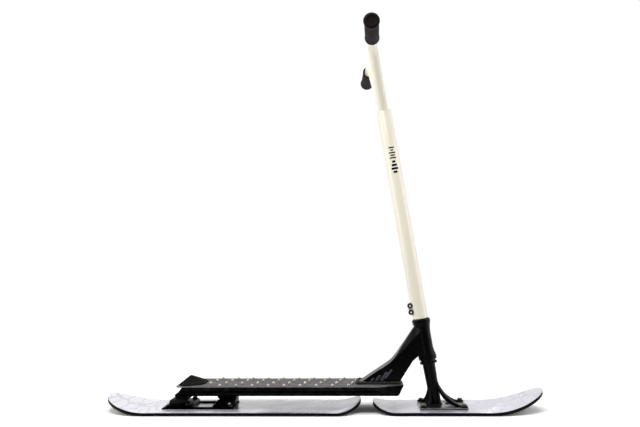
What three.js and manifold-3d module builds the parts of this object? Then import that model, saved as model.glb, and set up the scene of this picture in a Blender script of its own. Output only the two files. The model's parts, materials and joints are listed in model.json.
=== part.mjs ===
// Snow scooter: a scooter deck and bar carried by two short snow boards.
// Millimetres. +X is forward, +Y is the rider's left, +Z is up.
// The origin is on the snow, under the middle of the whole scooter.
import * as THREE from 'three';
import Module from 'manifold-3d';
import { mergeVertices } from 'three/addons/utils/BufferGeometryUtils.js';
import { ConvexGeometry } from 'three/addons/geometries/ConvexGeometry.js';

const wasm = await Module();
wasm.setup();

// Clearances and facets
const seat_gap = 0.3;
const overrun = 30;
const weld_tolerance = 0.0001;
const fine_sides = 20;
const tube_sides = 16;
const ring_sides = 14;
const bolt_sides = 8;
const hex_sides = 6;

// Boards
const board_core_thickness = 6.8;
const topsheet_thickness = 0.7;
const edge_height = 1.8;
const edge_width = 2.2;
const board_gap = 26.5;
const plan_exponent = 2.2;
const camber_exponent = 4;

// Rear board
const rear_board_length = 581;
const rear_board_half_width = 86;
const rear_camber = 0.6;
const rear_tail_length = 104;
const rear_tail_radius = 205;
const rear_nose_length = 57.5;
const rear_nose_radius = 92;
const rear_tail_rounding = 95;
const rear_nose_rounding = 58;

// Front board
const front_board_length = 383;
const front_board_half_width = 83;
const front_camber = 0.4;
const front_tail_length = 49;
const front_tail_radius = 93;
const front_nose_length = 130;
const front_nose_radius = 216;
const front_tail_rounding = 55;
const front_nose_rounding = 124;

// Steering axis
const head_rake = 9.3;
const axis_from_front_tail = 145.6;
const crown_height = 106;
const crown_thickness = 4.5;
const crown_radius = 19.7;

// Deck
const deck_to_axis = 75.7;
const deck_half_width = 65;
const deck_height = 20.7;
const deck_end_slope = 15.2;
const deck_bottom_chamfer = 4;
const deck_side_groove_depth = 1.6;
const deck_side_groove_height = 5;
const deck_belly_depth = 2.4;
const deck_belly_half_width = 38;
const deck_plate_thickness = 1.6;
const deck_plate_overhang = 15;
const deck_plate_front_inset = 1;
const deck_front_corner_length = 56;
const deck_front_corner_width = 35;
const plate_rear_corner_length = 7;
const plate_rear_corner_width = 11;

// Studs
const stud_neck_clearance = 5.1;
const stud_base_radius = 3.6;
const stud_height = 5.3;
const stud_tip_radius = 1.1;
const stud_rail_half_width = 3;
const stud_rail_thickness = 1.2;
const stud_row_offset = 56;
const stud_rear_inset = 74;
const stud_row_counts = [9, 10, 10, 9];
const stud_row_shift_shares = [0.0, -0.23, -0.46, 0.29];
const stud_row_place_shares = [1, 0.34, -0.34, -1];
const stud_sides = 5;

// Tail wedge
const wedge_length = 57.5;
const wedge_half_width = 55.7;
const wedge_height = 16;
const wedge_rear_inset = 2.7;
const wedge_lip = 1.4;

// Neck
const neck_half_width = 24;
const neck_chamfer_limit = 15;
const neck_foot_length = 90;
const neck_front_inset = 11.6;
const neck_arch_above_tube = 7.9;
const neck_underside_slope = 1.55;

// Head tube and headset
const head_tube_length = 90.9;
const head_lip_radius = 21;
const head_waist_radius = 16.6;
const head_flare_radius = 20.4;
const head_bore_radius = 14.8;
const bearing_outer_radius = 18.2;
const bearing_inner_radius = 14.7;
const bearing_height = 6.4;
const race_height = 4;
const race_outer_radius = 17;
const cover_height = 2.4;

// Fork
const steerer_radius = 14.3;
const steerer_wall = 2;
const steerer_above_head = 104;
const post_foot_radius = 12.4;
const strut_thickness = 8;
const strut_top_height = 79;
const strut_root_height = 61;
const strut_root_radius = 10;
const strut_knee_radius = 17;
const strut_knee_height = 28;
const strut_foot_length = 14;
const strut_toe_height = 3;
const strut_arch_height = 7;
const strut_pad_radius = 8.4;
const strut_pad_thickness = 2.8;
const strut_rear_drop = 13;

// Fork plate
const fork_plate_thickness = 3.2;
const fork_bolt_rear = 31;
const fork_bolt_front = 59;
const fork_bolt_half_spacing = 39;
const fork_plate_margin = 8.4;
const fork_plate_side_margin = 13;
const fork_window_rear = 22;
const fork_window_front = 49;
const fork_window_half_width = 21;
const fork_plate_corner = 5;

// Bar
const downtube_radius = 17.45;
const downtube_wall = 1.6;
const bar_tube_radius = 11.1;
const bar_tube_wall = 1.8;
const bar_above_crown = 591;
const bar_cap_thickness = 3;
const grip_above_bar = 130.7;
const leg_root_drop = 12;
const bar_half_width = 282;
const bar_corner_half_width = 95;
const bar_bend_radius = 50;
const bar_bend_steps = 5;
const bar_lean = 6;
const bar_sweep = 6;

// Bar clamp
const clamp_slit_width = 3;
const clamp_slit_length = 76;
const clamp_first_bolt = 17.6;
const clamp_bolt_pitch = 15.1;
const clamp_bolt_offset = 19.8;
const clamp_lug_thickness = 6.7;
const clamp_lug_margin = 8;
const clamp_lug_reach = 24.5;
const shim_length = 70;

// Grips
const grip_length = 122;
const grip_radius = 15.1;
const grip_flange_radius = 16;
const grip_flange_flat_share = 0.6;
const grip_flange_width = 4;
const grip_groove_depth = 0.9;
const grip_rib_count = 5;
const bar_end_radius = 16.7;
const bar_end_length = 9;
const bar_end_stem = 22;

// Bolts
const bolt_radius = 3;
const bolt_head_radius = 5.6;
const bolt_head_height = 3.8;
const bolt_socket_radius = 2.6;
const bolt_socket_depth = 2.4;
const bolt_clearance = 0.3;
const washer_radius = 7.4;
const washer_height = 1.2;
const board_bolt_depth = 5;
const clamp_head_radius = 5.4;

// Rear truck
const pivot_from_tail = 285.1;
const pivot_to_deck_rear = 103.8;
const pivot_height = 12.1;
const pivot_bolt_radius = 4;
const pivot_head_radius = 5.7;
const pivot_socket_radius = 2.8;
const pivot_head_height = 4.6;
const truck_height = 31.8;
const hanger_plate_thickness = 3.5;
const hanger_half_width = 40;
const hanger_rear = 124.8;
const hanger_front = 14.2;
const hanger_lug_rear = 29;
const barrel_radius = 11.2;
const bush_radius = 6;
const bush_flange_radius = 9;
const bush_flange_height = 1.2;
const bush_length = 14;

// Truck base
const base_rear = 153.6;
const base_front = 9.9;
const base_half_width = 47;
const base_height = 3.2;
const base_window_rear = 82;
const base_window_front = 42;
const base_notch = 18;
const base_rear_bevel = 7;
const plinth_height = 5.5;
const plinth_rear_inset = 9;
const plinth_front = 84;
const plinth_bevel = 5;
const ear_inner = 34;
const ear_thickness = 6;
const ear_rear_foot = 40;
const ear_rear_top = 26;
const ear_radius = 9.6;
const ear_shoulder = 8;
const base_bolt_rear = 94;
const base_bolt_front = 34;
const base_bolt_rear_offset = 40;
const base_bolt_front_offset = 24;

// Rubber block and its seat
const block_front = 96;
const block_half_width = 35;
const block_height = 7.3;
const seat_front = 111;
const seat_rear = 138;
const seat_flare = 5;
const seat_half_width = 36;
const seat_overhang = 14;
const seat_lip = 3;

// Hanger bolts
const hanger_bolt_rear = 80;
const hanger_bolt_middle = 48;
const hanger_bolt_offset = 24;
const hanger_bolt_depth = 12;
const hanger_bolt_head_height = 3;

// Places along the scooter, worked out from the boards
const overall_length = rear_board_length + board_gap + front_board_length;
const rear_tail_x = -overall_length / 2;
const front_tail_x = rear_tail_x + rear_board_length + board_gap;
const steer_x = front_tail_x + axis_from_front_tail;
const pivot_x = rear_tail_x + pivot_from_tail;
const deck_front_x = steer_x - deck_to_axis;
const deck_rear_x = pivot_x - pivot_to_deck_rear;
const neck_front_x = deck_front_x - neck_front_inset;
const neck_toe_x = neck_front_x - neck_foot_length;
const first_stud_x = deck_rear_x + stud_rear_inset;
const stud_pitches_to_neck = stud_row_counts[1] - 1 + stud_row_shift_shares[1];
const stud_pitch = (neck_toe_x - stud_neck_clearance - first_stud_x) / stud_pitches_to_neck;

// Heights, worked up from the snow
const board_stack = board_core_thickness + seat_gap + topsheet_thickness;
const rear_board_top = rear_camber + board_stack;
const front_board_top = front_camber + board_stack;
const base_bottom = rear_board_top + seat_gap;
const base_top = base_bottom + base_height;
const plinth_top = base_top + plinth_height;
const pivot_z = rear_board_top + pivot_height;
const deck_bottom = rear_board_top + truck_height;
const deck_body_top = deck_bottom + deck_height - deck_plate_thickness - seat_gap;
const deck_plate_bottom = deck_body_top + seat_gap;
const deck_top = deck_plate_bottom + deck_plate_thickness;
const hanger_top = deck_bottom - seat_gap;
const hanger_bottom = hanger_top - hanger_plate_thickness;
const block_top = hanger_bottom - seat_gap;
const block_bottom = block_top - block_height;
const fork_plate_bottom = front_board_top + seat_gap;
const fork_plate_top = fork_plate_bottom + fork_plate_thickness;

// Distances up the steering axis
const crown_top = crown_height + crown_thickness;
const head_tube_bottom = crown_top + seat_gap + race_height + seat_gap;
const head_tube_top = head_tube_bottom + head_tube_length;
const bar_bottom = head_tube_top + seat_gap + cover_height + seat_gap;
const bar_top = crown_height + bar_above_crown;
const grip_line = bar_top + grip_above_bar;
const steerer_top = head_tube_top + steerer_above_head;

const rake = THREE.MathUtils.degToRad(head_rake);
const neck_arch_height = head_tube_bottom * Math.cos(rake) - deck_top + neck_arch_above_tube;

// Turning points and solids into one another

function bare(geometry) {
  const copy = new THREE.BufferGeometry();
  copy.setAttribute('position', geometry.getAttribute('position').clone());
  if (geometry.index) copy.setIndex(geometry.index.clone());
  return mergeVertices(copy, weld_tolerance);
}

function signedVolume(points, triangles) {
  const a = new THREE.Vector3();
  const b = new THREE.Vector3();
  const c = new THREE.Vector3();
  let sum = 0;
  for (let i = 0; i < triangles.length; i += 3) {
    a.fromArray(points, triangles[i] * 3);
    b.fromArray(points, triangles[i + 1] * 3);
    c.fromArray(points, triangles[i + 2] * 3);
    sum += a.dot(b.cross(c));
  }
  return sum;
}

function solid(geometry) {
  const merged = bare(geometry);
  const points = Float32Array.from(merged.getAttribute('position').array);
  const triangles = [];
  for (let i = 0; i < merged.index.count; i += 3) {
    const [a, b, c] = [0, 1, 2].map((k) => merged.index.getX(i + k));
    if (a !== b && b !== c && c !== a) triangles.push(a, b, c);
  }
  if (signedVolume(points, triangles) < 0) triangles.reverse();
  return new wasm.Manifold(new wasm.Mesh({
    numProp: 3,
    vertProperties: points,
    triVerts: Uint32Array.from(triangles),
  }));
}

function join(...solids) {
  return solids.reduce((whole, piece) => whole.add(piece));
}

function cut(body, ...tools) {
  return tools.reduce((rest, tool) => rest.subtract(tool), body);
}

function toGeometry(body) {
  const mesh = body.getMesh();
  const geometry = new THREE.BufferGeometry();
  geometry.setAttribute('position', new THREE.BufferAttribute(mesh.vertProperties, 3));
  geometry.setIndex(new THREE.BufferAttribute(mesh.triVerts, 1));
  geometry.computeVertexNormals();
  return geometry;
}

// Basic shapes

function block(x0, x1, y0, y1, z0, z1) {
  const geometry = new THREE.BoxGeometry(x1 - x0, y1 - y0, z1 - z0);
  geometry.translate((x0 + x1) / 2, (y0 + y1) / 2, (z0 + z1) / 2);
  return solid(geometry);
}

// A turned piece about +Z, from [radius, height] points that start and end on the axis or close
function turned(profile, sides = tube_sides) {
  const points = profile.map(([radius, height]) => new THREE.Vector2(radius, height));
  const geometry = new THREE.LatheGeometry(points, sides);
  geometry.rotateX(Math.PI / 2);
  return solid(geometry);
}

function rod(radius, z0, z1, sides = tube_sides) {
  return turned([[0, z0], [radius, z0], [radius, z1], [0, z1]], sides);
}

function ring(inner, outer, z0, z1, sides = fine_sides) {
  return turned([[inner, z0], [outer, z0], [outer, z1], [inner, z1], [inner, z0]], sides);
}

function outline(points) {
  return new THREE.Shape(points.map(([x, y]) => new THREE.Vector2(x, y)));
}

// A plan outline raised from z0 to z1
function raised(shape, z0, z1) {
  const geometry = new THREE.ExtrudeGeometry(shape, { depth: z1 - z0, bevelEnabled: false });
  geometry.translate(0, 0, z0);
  return solid(geometry);
}

// A side outline, drawn in X and Z, carried across from y0 to y1
function across(shape, y0, y1) {
  const geometry = new THREE.ExtrudeGeometry(shape, { depth: y1 - y0, bevelEnabled: false });
  geometry.rotateX(Math.PI / 2);
  geometry.translate(0, y1, 0);
  return solid(geometry);
}

// Closed loops of equal length joined into a skin, with flat ends
function loft(loops) {
  const count = loops[0].length;
  const points = loops.flat().flatMap((point) => [point.x, point.y, point.z]);
  const triangles = [];
  for (let i = 0; i + 1 < loops.length; i += 1) {
    for (let k = 0; k < count; k += 1) {
      const next = (k + 1) % count;
      const [a, b] = [i * count + k, i * count + next];
      const [c, d] = [a + count, b + count];
      triangles.push(a, b, d, a, d, c);
    }
  }
  const last = (loops.length - 1) * count;
  for (let k = 1; k + 1 < count; k += 1) {
    triangles.push(0, k + 1, k, last, last + k, last + k + 1);
  }
  const geometry = new THREE.BufferGeometry();
  geometry.setAttribute('position', new THREE.Float32BufferAttribute(points, 3));
  geometry.setIndex(triangles);
  return solid(geometry);
}

function moved(body, x, y, z) {
  return body.translate([x, y, z]);
}

// Laid along +Y, with the end that was on top now facing -Y
function laid(body) {
  return body.rotate([90, 0, 0]);
}

// From the steering axis' own frame to the scooter's
function tilted(body) {
  return body.rotate([0, -head_rake, 0]).translate([steer_x, 0, 0]);
}

// Finishes

function finish(color, roughness, metalness) {
  return new THREE.MeshStandardMaterial({ color, roughness, metalness });
}

const black_coat = finish(0x0d0d0f, 0.42, 0.3);
const black_rubber = finish(0x1b1718, 0.8, 0);
const ivory_paint = finish(0xece8da, 0.28, 0);
const bare_steel = finish(0x9a948a, 0.35, 1);
const bright_steel = finish(0xc8c8c8, 0.25, 1);
const black_steel = finish(0x141414, 0.35, 0.7);
const grey_cast = finish(0x4f5450, 0.6, 0.4);
const grip_coat = finish(0x6c666e, 0.85, 0);
const sidewall_black = finish(0x121212, 0.4, 0);
const frost_print = finish(0xcfcedb, 0.25, 0);

const scooter = new THREE.Group();

function add(name, body, material) {
  const mesh = new THREE.Mesh(toGeometry(body), material);
  mesh.name = name;
  scooter.add(mesh);
}

// Boards

const rear_board = {
  tail_x: rear_tail_x,
  length: rear_board_length,
  half_width: rear_board_half_width,
  camber: rear_camber,
  tail_length: rear_tail_length,
  tail_radius: rear_tail_radius,
  nose_length: rear_nose_length,
  nose_radius: rear_nose_radius,
  tail_rounding: rear_tail_rounding,
  nose_rounding: rear_nose_rounding,
};

const front_board = {
  tail_x: front_tail_x,
  length: front_board_length,
  half_width: front_board_half_width,
  camber: front_camber,
  tail_length: front_tail_length,
  tail_radius: front_tail_radius,
  nose_length: front_nose_length,
  nose_radius: front_nose_radius,
  tail_rounding: front_tail_rounding,
  nose_rounding: front_nose_rounding,
};

// Height of a board's base, at a distance from its tail
function baseHeight(board, x) {
  const flat_start = board.tail_length;
  const flat_end = board.length - board.nose_length;
  const tail_run = flat_start - x;
  const nose_run = x - flat_end;
  if (tail_run > 0) return tail_run ** 2 / (2 * board.tail_radius);
  if (nose_run > 0) return nose_run ** 2 / (2 * board.nose_radius);
  const share = (2 * x - flat_start - flat_end) / (flat_end - flat_start);
  return board.camber * (1 - Math.abs(share) ** camber_exponent);
}

// Places along a board where its side view needs a point
function stations(board) {
  const tail_steps = 5;
  const flat_steps = 4;
  const nose_steps = 6;
  const flat = board.length - board.nose_length - board.tail_length;
  const places = [];
  for (let i = 0; i < tail_steps; i += 1) {
    places.push(board.tail_length * (i / tail_steps));
  }
  for (let i = 0; i < flat_steps; i += 1) {
    places.push(board.tail_length + flat * (i / flat_steps));
  }
  for (let i = 0; i <= nose_steps; i += 1) {
    places.push(board.length - board.nose_length * (1 - i / nose_steps));
  }
  return [-overrun, ...places, board.length + overrun];
}

// A layer of a board in side view, between two heights above its base
function layer(board, low, high) {
  const side = (lift) => stations(board).map((x) => {
    const step = board.length / 1000;
    const slope = (baseHeight(board, x + step) - baseHeight(board, x - step)) / (2 * step);
    const normal = new THREE.Vector2(-slope, 1).normalize();
    return [board.tail_x + x + normal.x * lift, baseHeight(board, x) + normal.y * lift];
  });
  const reach = board.half_width + overrun;
  return across(outline([...side(low), ...side(high).reverse()]), -reach, reach);
}

// A board's plan outline, drawn in from its edge by an inset
function plan(board, inset) {
  const end_steps = 7;
  const half = board.half_width - inset;
  const end = (rounding, share) => {
    const angle = (share * Math.PI) / 2;
    const along = (rounding - inset) * (1 - Math.cos(angle) ** (2 / plan_exponent));
    return [along, half * Math.sin(angle) ** (2 / plan_exponent)];
  };
  const left = [];
  for (let i = 0; i <= end_steps; i += 1) {
    const [along, y] = end(board.tail_rounding, i / end_steps);
    left.push([board.tail_x + inset + along, y]);
  }
  for (let i = end_steps; i >= 0; i -= 1) {
    const [along, y] = end(board.nose_rounding, i / end_steps);
    left.push([board.tail_x + board.length - inset - along, y]);
  }
  const right = left.slice(1, -1).map(([x, y]) => [x, -y]).reverse();
  return outline([...left, ...right]);
}

function makeBoard(name, board, holes) {
  const low = -overrun;
  const high = board_stack + overrun + board.length / 2;
  const core_top = board_core_thickness;
  const sheet_bottom = core_top + seat_gap;
  const whole = raised(plan(board, 0), low, high);
  const inside = raised(plan(board, edge_width), low - overrun, high + overrun);
  const behind_edge = raised(plan(board, edge_width + seat_gap), low - overrun, high + overrun);
  const edge = layer(board, 0, edge_height).intersect(whole).subtract(inside);
  const edge_space = layer(board, low, edge_height + seat_gap).subtract(behind_edge);
  const core = layer(board, 0, core_top).intersect(whole).subtract(edge_space);
  const sheet = layer(board, sheet_bottom, board_stack).intersect(whole);
  add(`${name}_core`, cut(core, ...holes), sidewall_black);
  add(`${name}_topsheet`, cut(sheet, ...holes), frost_print);
  add(`${name}_edge`, edge, bare_steel);
}

// Bolts

function socketBolt(shank, head_radius = bolt_head_radius, radius = bolt_radius) {
  const head = rod(head_radius, 0, bolt_head_height, bolt_sides);
  const stem = rod(radius, -shank, bolt_head_height / 2, bolt_sides);
  const socket = rod(bolt_socket_radius, bolt_head_height - bolt_socket_depth,
    bolt_head_height + overrun, hex_sides);
  return join(head, stem).subtract(socket);
}

function washeredBolt(shank) {
  const washer = rod(washer_radius, 0, washer_height, bolt_sides);
  return join(washer, moved(socketBolt(shank + washer_height), 0, 0, washer_height));
}

function boltHoles(places, radius, z0, z1) {
  return places.map(([x, y]) => moved(rod(radius, z0, z1, bolt_sides), x, y, 0));
}

function addBolts(name, bolt, places, z, material) {
  places.forEach(([x, y], i) => add(`${name}_${i + 1}`, moved(bolt, x, y, z), material));
}

const hole_radius = bolt_radius + bolt_clearance;
const rear_bolt_places = [
  [pivot_x - base_bolt_rear, base_bolt_rear_offset],
  [pivot_x - base_bolt_rear, -base_bolt_rear_offset],
  [pivot_x - base_bolt_front, base_bolt_front_offset],
  [pivot_x - base_bolt_front, -base_bolt_front_offset],
];

const plate_axis_x = steer_x - fork_plate_top * Math.tan(rake);
const front_bolt_places = [
  [plate_axis_x - fork_bolt_rear, fork_bolt_half_spacing],
  [plate_axis_x - fork_bolt_rear, -fork_bolt_half_spacing],
  [plate_axis_x + fork_bolt_front, fork_bolt_half_spacing],
  [plate_axis_x + fork_bolt_front, -fork_bolt_half_spacing],
];

function makeBoards() {
  const floor_left = board_bolt_depth + seat_gap;
  makeBoard('rear_board', rear_board,
    boltHoles(rear_bolt_places, hole_radius, rear_board_top - floor_left, base_top));
  makeBoard('front_board', front_board,
    boltHoles(front_bolt_places, hole_radius, front_board_top - floor_left, fork_plate_top));
}

// Deck

function deckSection() {
  const half = deck_half_width;
  const groove_middle = (deck_bottom + deck_body_top) / 2;
  const groove_low = groove_middle - deck_side_groove_height / 2;
  const groove_high = groove_middle + deck_side_groove_height / 2;
  const belly = deck_bottom + deck_belly_depth;
  const right = [
    [deck_belly_half_width - deck_belly_depth, belly],
    [deck_belly_half_width, deck_bottom],
    [half - deck_bottom_chamfer, deck_bottom],
    [half, deck_bottom + deck_bottom_chamfer],
    [half, groove_low],
    [half - deck_side_groove_depth, groove_low + deck_side_groove_depth],
    [half - deck_side_groove_depth, groove_high - deck_side_groove_depth],
    [half, groove_high],
    [half, deck_body_top],
  ];
  const left = right.map(([y, z]) => [-y, z]).reverse();
  return outline([...right, ...left]);
}

function makeDeck() {
  const length = deck_front_x - deck_rear_x;
  const bar = new THREE.ExtrudeGeometry(deckSection(), {
    depth: length + 2 * deck_end_slope,
    bevelEnabled: false,
  });
  bar.rotateX(Math.PI / 2);
  bar.rotateZ(Math.PI / 2);
  bar.translate(deck_rear_x - deck_end_slope, 0, 0);
  const ends = across(outline([
    [deck_rear_x - deck_end_slope, deck_bottom],
    [deck_front_x - deck_end_slope, deck_bottom],
    [deck_front_x, deck_body_top],
    [deck_rear_x, deck_body_top],
  ]), -deck_half_width - overrun, deck_half_width + overrun);
  const hanger_holes = boltHoles(hanger_bolt_places, hole_radius,
    deck_bottom - overrun, deck_bottom + hanger_bolt_depth + seat_gap);
  const plan_cut = deckPlan(deck_rear_x - deck_end_slope - overrun, deck_front_x, 0, 0);
  const channels = stud_row_counts.map((_, row) => studRail(row, 2 * seat_gap));
  const body = solid(bar).intersect(ends).intersect(plan_cut);
  add('deck_body', cut(body, ...hanger_holes, ...channels), black_coat);
  const whole_plate = block(deck_rear_x - deck_plate_overhang, deck_front_x, -deck_half_width,
    deck_half_width, deck_plate_bottom, deck_top);
  const plate = whole_plate.intersect(deckPlan(deck_rear_x - deck_plate_overhang,
    deck_front_x - deck_plate_front_inset, plate_rear_corner_length, plate_rear_corner_width));
  const stud_holes = stud_row_counts.flatMap((_, row) => {
    const hole = rod(stud_base_radius + seat_gap, deck_body_top, deck_top + overrun, stud_sides);
    return studPlaces(row).map(([x, y]) => moved(hole, x, y, 0));
  });
  add('deck_plate', cut(plate, ...stud_holes), grip_coat);
}

// The deck seen from above, with its front corners set back and its rear ones cut
function deckPlan(rear_x, front_x, rear_cut_length, rear_cut_width) {
  const half = deck_half_width;
  const right = [
    [rear_x, half - rear_cut_width],
    [rear_x + rear_cut_length, half],
    [front_x - deck_front_corner_length, half],
    [front_x, half - deck_front_corner_width],
  ];
  const left = right.map(([x, y]) => [x, -y]).reverse();
  return raised(outline([...right, ...left]), deck_bottom - overrun, deck_top + overrun);
}

function studPlaces(row) {
  const start = first_stud_x + stud_pitch * stud_row_shift_shares[row];
  const y = stud_row_offset * stud_row_place_shares[row];
  return Array.from({ length: stud_row_counts[row] }, (_, i) => [start + i * stud_pitch, y]);
}

// The strip under the deck plate that ties one row of studs together
function studRail(row, extra) {
  const places = studPlaces(row);
  const half = stud_rail_half_width + extra;
  const [first_x, y] = places[0];
  const [last_x] = places[places.length - 1];
  const top = extra > 0 ? deck_body_top + overrun : deck_body_top + seat_gap / 2;
  return block(first_x - half, last_x + half, y - half, y + half,
    deck_body_top - stud_rail_thickness - extra, top);
}

function makeStuds() {
  const foot = deck_body_top + seat_gap / 4;
  const tip = deck_top + stud_height;
  const stud = turned([
    [0, foot],
    [stud_base_radius, foot],
    [stud_base_radius, deck_top],
    [stud_tip_radius, tip],
    [0, tip],
  ], stud_sides);
  stud_row_counts.forEach((_, row) => {
    const studs = studPlaces(row).map(([x, y]) => moved(stud, x, y, 0));
    add(`stud_row_${row + 1}`, join(studRail(row, 0), ...studs), bright_steel);
  });
}

// Half of the wedge's foot and of its crown from above, in shares of its length and half width
const wedge_half_shares = [
  [0, 0.72],
  [0.13, 0.9],
  [0.28, 1],
  [0.5, 0.9],
  [0.75, 0.77],
  [0.92, 0.6],
  [1, 0.3],
];
const wedge_crown_shares = [[0.3, 0.14], [0.42, 0.12]];

function makeTailWedge() {
  const rear = deck_rear_x - deck_plate_overhang + wedge_rear_inset;
  const low = deck_top + seat_gap;
  const side_shares = wedge_half_shares.flatMap(([x, y]) => [[x, y], [x, -y]]);
  const crown_shares = wedge_crown_shares.flatMap(([x, y]) => [[x, y], [x, -y]]);
  const at = ([x, y], z) => {
    return new THREE.Vector3(rear + x * wedge_length, y * wedge_half_width, z);
  };
  const points = [
    ...side_shares.map((place) => at(place, low)),
    ...side_shares.map((place) => at(place, low + wedge_lip)),
    ...crown_shares.map((place) => at(place, low + wedge_height)),
  ];
  add('tail_wedge', solid(new ConvexGeometry(points)), black_rubber);
}

// Head tube and neck

// Shares of the head tube's length, and how far its outline is from waist to flare or lip there
const head_flare_shares = [[0.08, 1], [0.2, 0.3], [0.34, 0]];
const head_lip_shares = [[0.62, 0], [0.74, 0.12], [0.86, 0.5], [0.95, 0.94]];

function headTubeOuter(extra) {
  const at = ([along, out], radius) => [
    head_waist_radius + (radius - head_waist_radius) * out + extra,
    head_tube_bottom + head_tube_length * along,
  ];
  return turned([
    [0, head_tube_bottom - extra],
    [head_flare_radius + extra, head_tube_bottom - extra],
    ...head_flare_shares.map((share) => at(share, head_flare_radius)),
    ...head_lip_shares.map((share) => at(share, head_lip_radius)),
    [head_lip_radius + extra, head_tube_top + extra],
    [0, head_tube_top + extra],
  ], fine_sides);
}

function makeHeadTube() {
  const seat_radius = bearing_outer_radius + seat_gap;
  const seat_depth = bearing_height + 2 * seat_gap;
  const bore = rod(head_bore_radius, head_tube_bottom - overrun, head_tube_top + overrun, fine_sides);
  const low_seat = rod(seat_radius, head_tube_bottom - overrun, head_tube_bottom + seat_depth, fine_sides);
  const high_seat = rod(seat_radius, head_tube_top - seat_depth, head_tube_top + overrun, fine_sides);
  add('head_tube', tilted(cut(headTubeOuter(0), bore, low_seat, high_seat)), black_coat);
  const bearing = (z) => tilted(ring(bearing_inner_radius, bearing_outer_radius, z, z + bearing_height));
  add('lower_bearing', bearing(head_tube_bottom + seat_gap), bright_steel);
  add('upper_bearing', bearing(head_tube_top - seat_gap - bearing_height), bright_steel);
  const race_inner = steerer_radius + seat_gap;
  add('crown_race', tilted(ring(race_inner, race_outer_radius, crown_top + seat_gap,
    crown_top + seat_gap + race_height)), bright_steel);
  const cover_bottom = head_tube_top + seat_gap;
  add('headset_cover', tilted(ring(race_inner, bearing_outer_radius + 2 * seat_gap, cover_bottom,
    cover_bottom + cover_height)), black_steel);
}

// The neck's back, in shares: along its run, height of its ridge, height of its side plates
const neck_back_shares = [
  [0, 0.025, 0.01],
  [0.056, 0.045, 0.035],
  [0.18, 0.125, 0.12],
  [0.32, 0.218, 0.213],
  [0.43, 0.284, 0.276],
  [0.51, 0.347, 0.33],
  [0.59, 0.439, 0.394],
  [0.67, 0.559, 0.474],
  [0.75, 0.678, 0.56],
  [0.83, 0.8, 0.652],
  [0.9, 0.905, 0.742],
  [0.97, 0.97, 0.842],
];

function neckBack(along) {
  const next = neck_back_shares.findIndex(([share]) => share >= along);
  const [x1, ridge1, side1] = neck_back_shares[next];
  const [x0, ridge0, side0] = neck_back_shares[Math.max(0, next - 1)];
  const t = x1 > x0 ? (along - x0) / (x1 - x0) : 0;
  return [THREE.MathUtils.lerp(ridge0, ridge1, t), THREE.MathUtils.lerp(side0, side1, t)];
}

// Upright slices from toe to head tube, each with side plates and a chamfered back
function makeNeck() {
  const floor_z = deck_top + seat_gap;
  const head_z = head_tube_top * Math.cos(rake);
  const rise = head_z - floor_z;
  const run = steer_x - head_z * Math.tan(rake) - neck_toe_x;
  const foot_share = (neck_front_x - neck_toe_x) / run;
  const arch_share = foot_share + (neck_arch_height / neck_underside_slope) / run;
  const slices = [...neck_back_shares.map(([share]) => share), foot_share, arch_share];
  const loops = slices.sort((a, b) => a - b).map((along) => {
    const x = neck_toe_x + run * along;
    const [ridge, side] = neckBack(along).map((share) => floor_z + rise * share);
    const past_foot = Math.max(0, x - neck_front_x) * neck_underside_slope;
    const low = floor_z + Math.min(neck_arch_height, past_foot);
    const drop = ridge - side;
    const ridge_half = neck_half_width - Math.min(drop, neck_chamfer_limit);
    return [
      new THREE.Vector3(x, -neck_half_width, low),
      new THREE.Vector3(x, neck_half_width, low),
      new THREE.Vector3(x, neck_half_width, side),
      new THREE.Vector3(x, ridge_half, ridge),
      new THREE.Vector3(x, -ridge_half, ridge),
      new THREE.Vector3(x, -neck_half_width, side),
    ];
  });
  add('neck', cut(loft(loops), tilted(headTubeOuter(seat_gap))), black_coat);
}

// Fork

function makeFork() {
  const below_plate = block(steer_x - overall_length, steer_x + overall_length, -overall_length,
    overall_length, -overall_length, fork_plate_top + seat_gap);
  const post = turned([
    [0, 0],
    [post_foot_radius, 0],
    [steerer_radius, crown_height],
    [crown_radius, crown_height],
    [crown_radius, crown_top],
    [0, crown_top],
  ], fine_sides);
  const socket = rod(steerer_radius + seat_gap, crown_height + seat_gap, crown_top + overrun, fine_sides);
  add('fork_post', cut(tilted(cut(post, socket)), below_plate), black_coat);
  const steerer_bottom = crown_height + 2 * seat_gap;
  add('steerer_tube', tilted(ring(steerer_radius - steerer_wall, steerer_radius, steerer_bottom,
    steerer_top)), bright_steel);
  const around_post = tilted(turned([
    [0, -overrun],
    [post_foot_radius + seat_gap, -overrun],
    [post_foot_radius + seat_gap, 0],
    [steerer_radius + seat_gap, crown_height],
    [0, crown_height],
  ], fine_sides));
  const pad_bottom = fork_plate_top + seat_gap;
  const pad_top = pad_bottom + strut_pad_thickness;
  const lean = new THREE.Matrix4().makeShear(0, 0, 0, 0, -Math.tan(rake), 0)
    .setPosition(steer_x, 0, 0);
  const sides = { front_left: [0, 1], front_right: [0, -1], rear_left: [1, 1], rear_right: [1, -1] };
  for (const [name, [rear, side]] of Object.entries(sides)) {
    const reach_x = rear ? -fork_bolt_rear : fork_bolt_front;
    const reach_y = side * fork_bolt_half_spacing;
    const bolt_distance = Math.hypot(reach_x, reach_y);
    const toe = bolt_distance - bolt_head_radius - 3 * seat_gap;
    const strut = strutBlade(toe, rear ? strut_rear_drop : 0);
    const turn = THREE.MathUtils.radToDeg(Math.atan2(reach_y, reach_x));
    const placed = strut.rotate([0, 0, turn]).transform(lean.elements);
    const bolt_x = plate_axis_x + reach_x;
    const pad = moved(rod(strut_pad_radius, pad_bottom, pad_top, ring_sides), bolt_x, reach_y, 0);
    const hole = moved(rod(hole_radius, pad_bottom - overrun, pad_top + overrun, bolt_sides),
      bolt_x, reach_y, 0);
    add(`fork_strut_${name}`, cut(join(placed, pad), hole, around_post), black_coat);
  }
}

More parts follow.
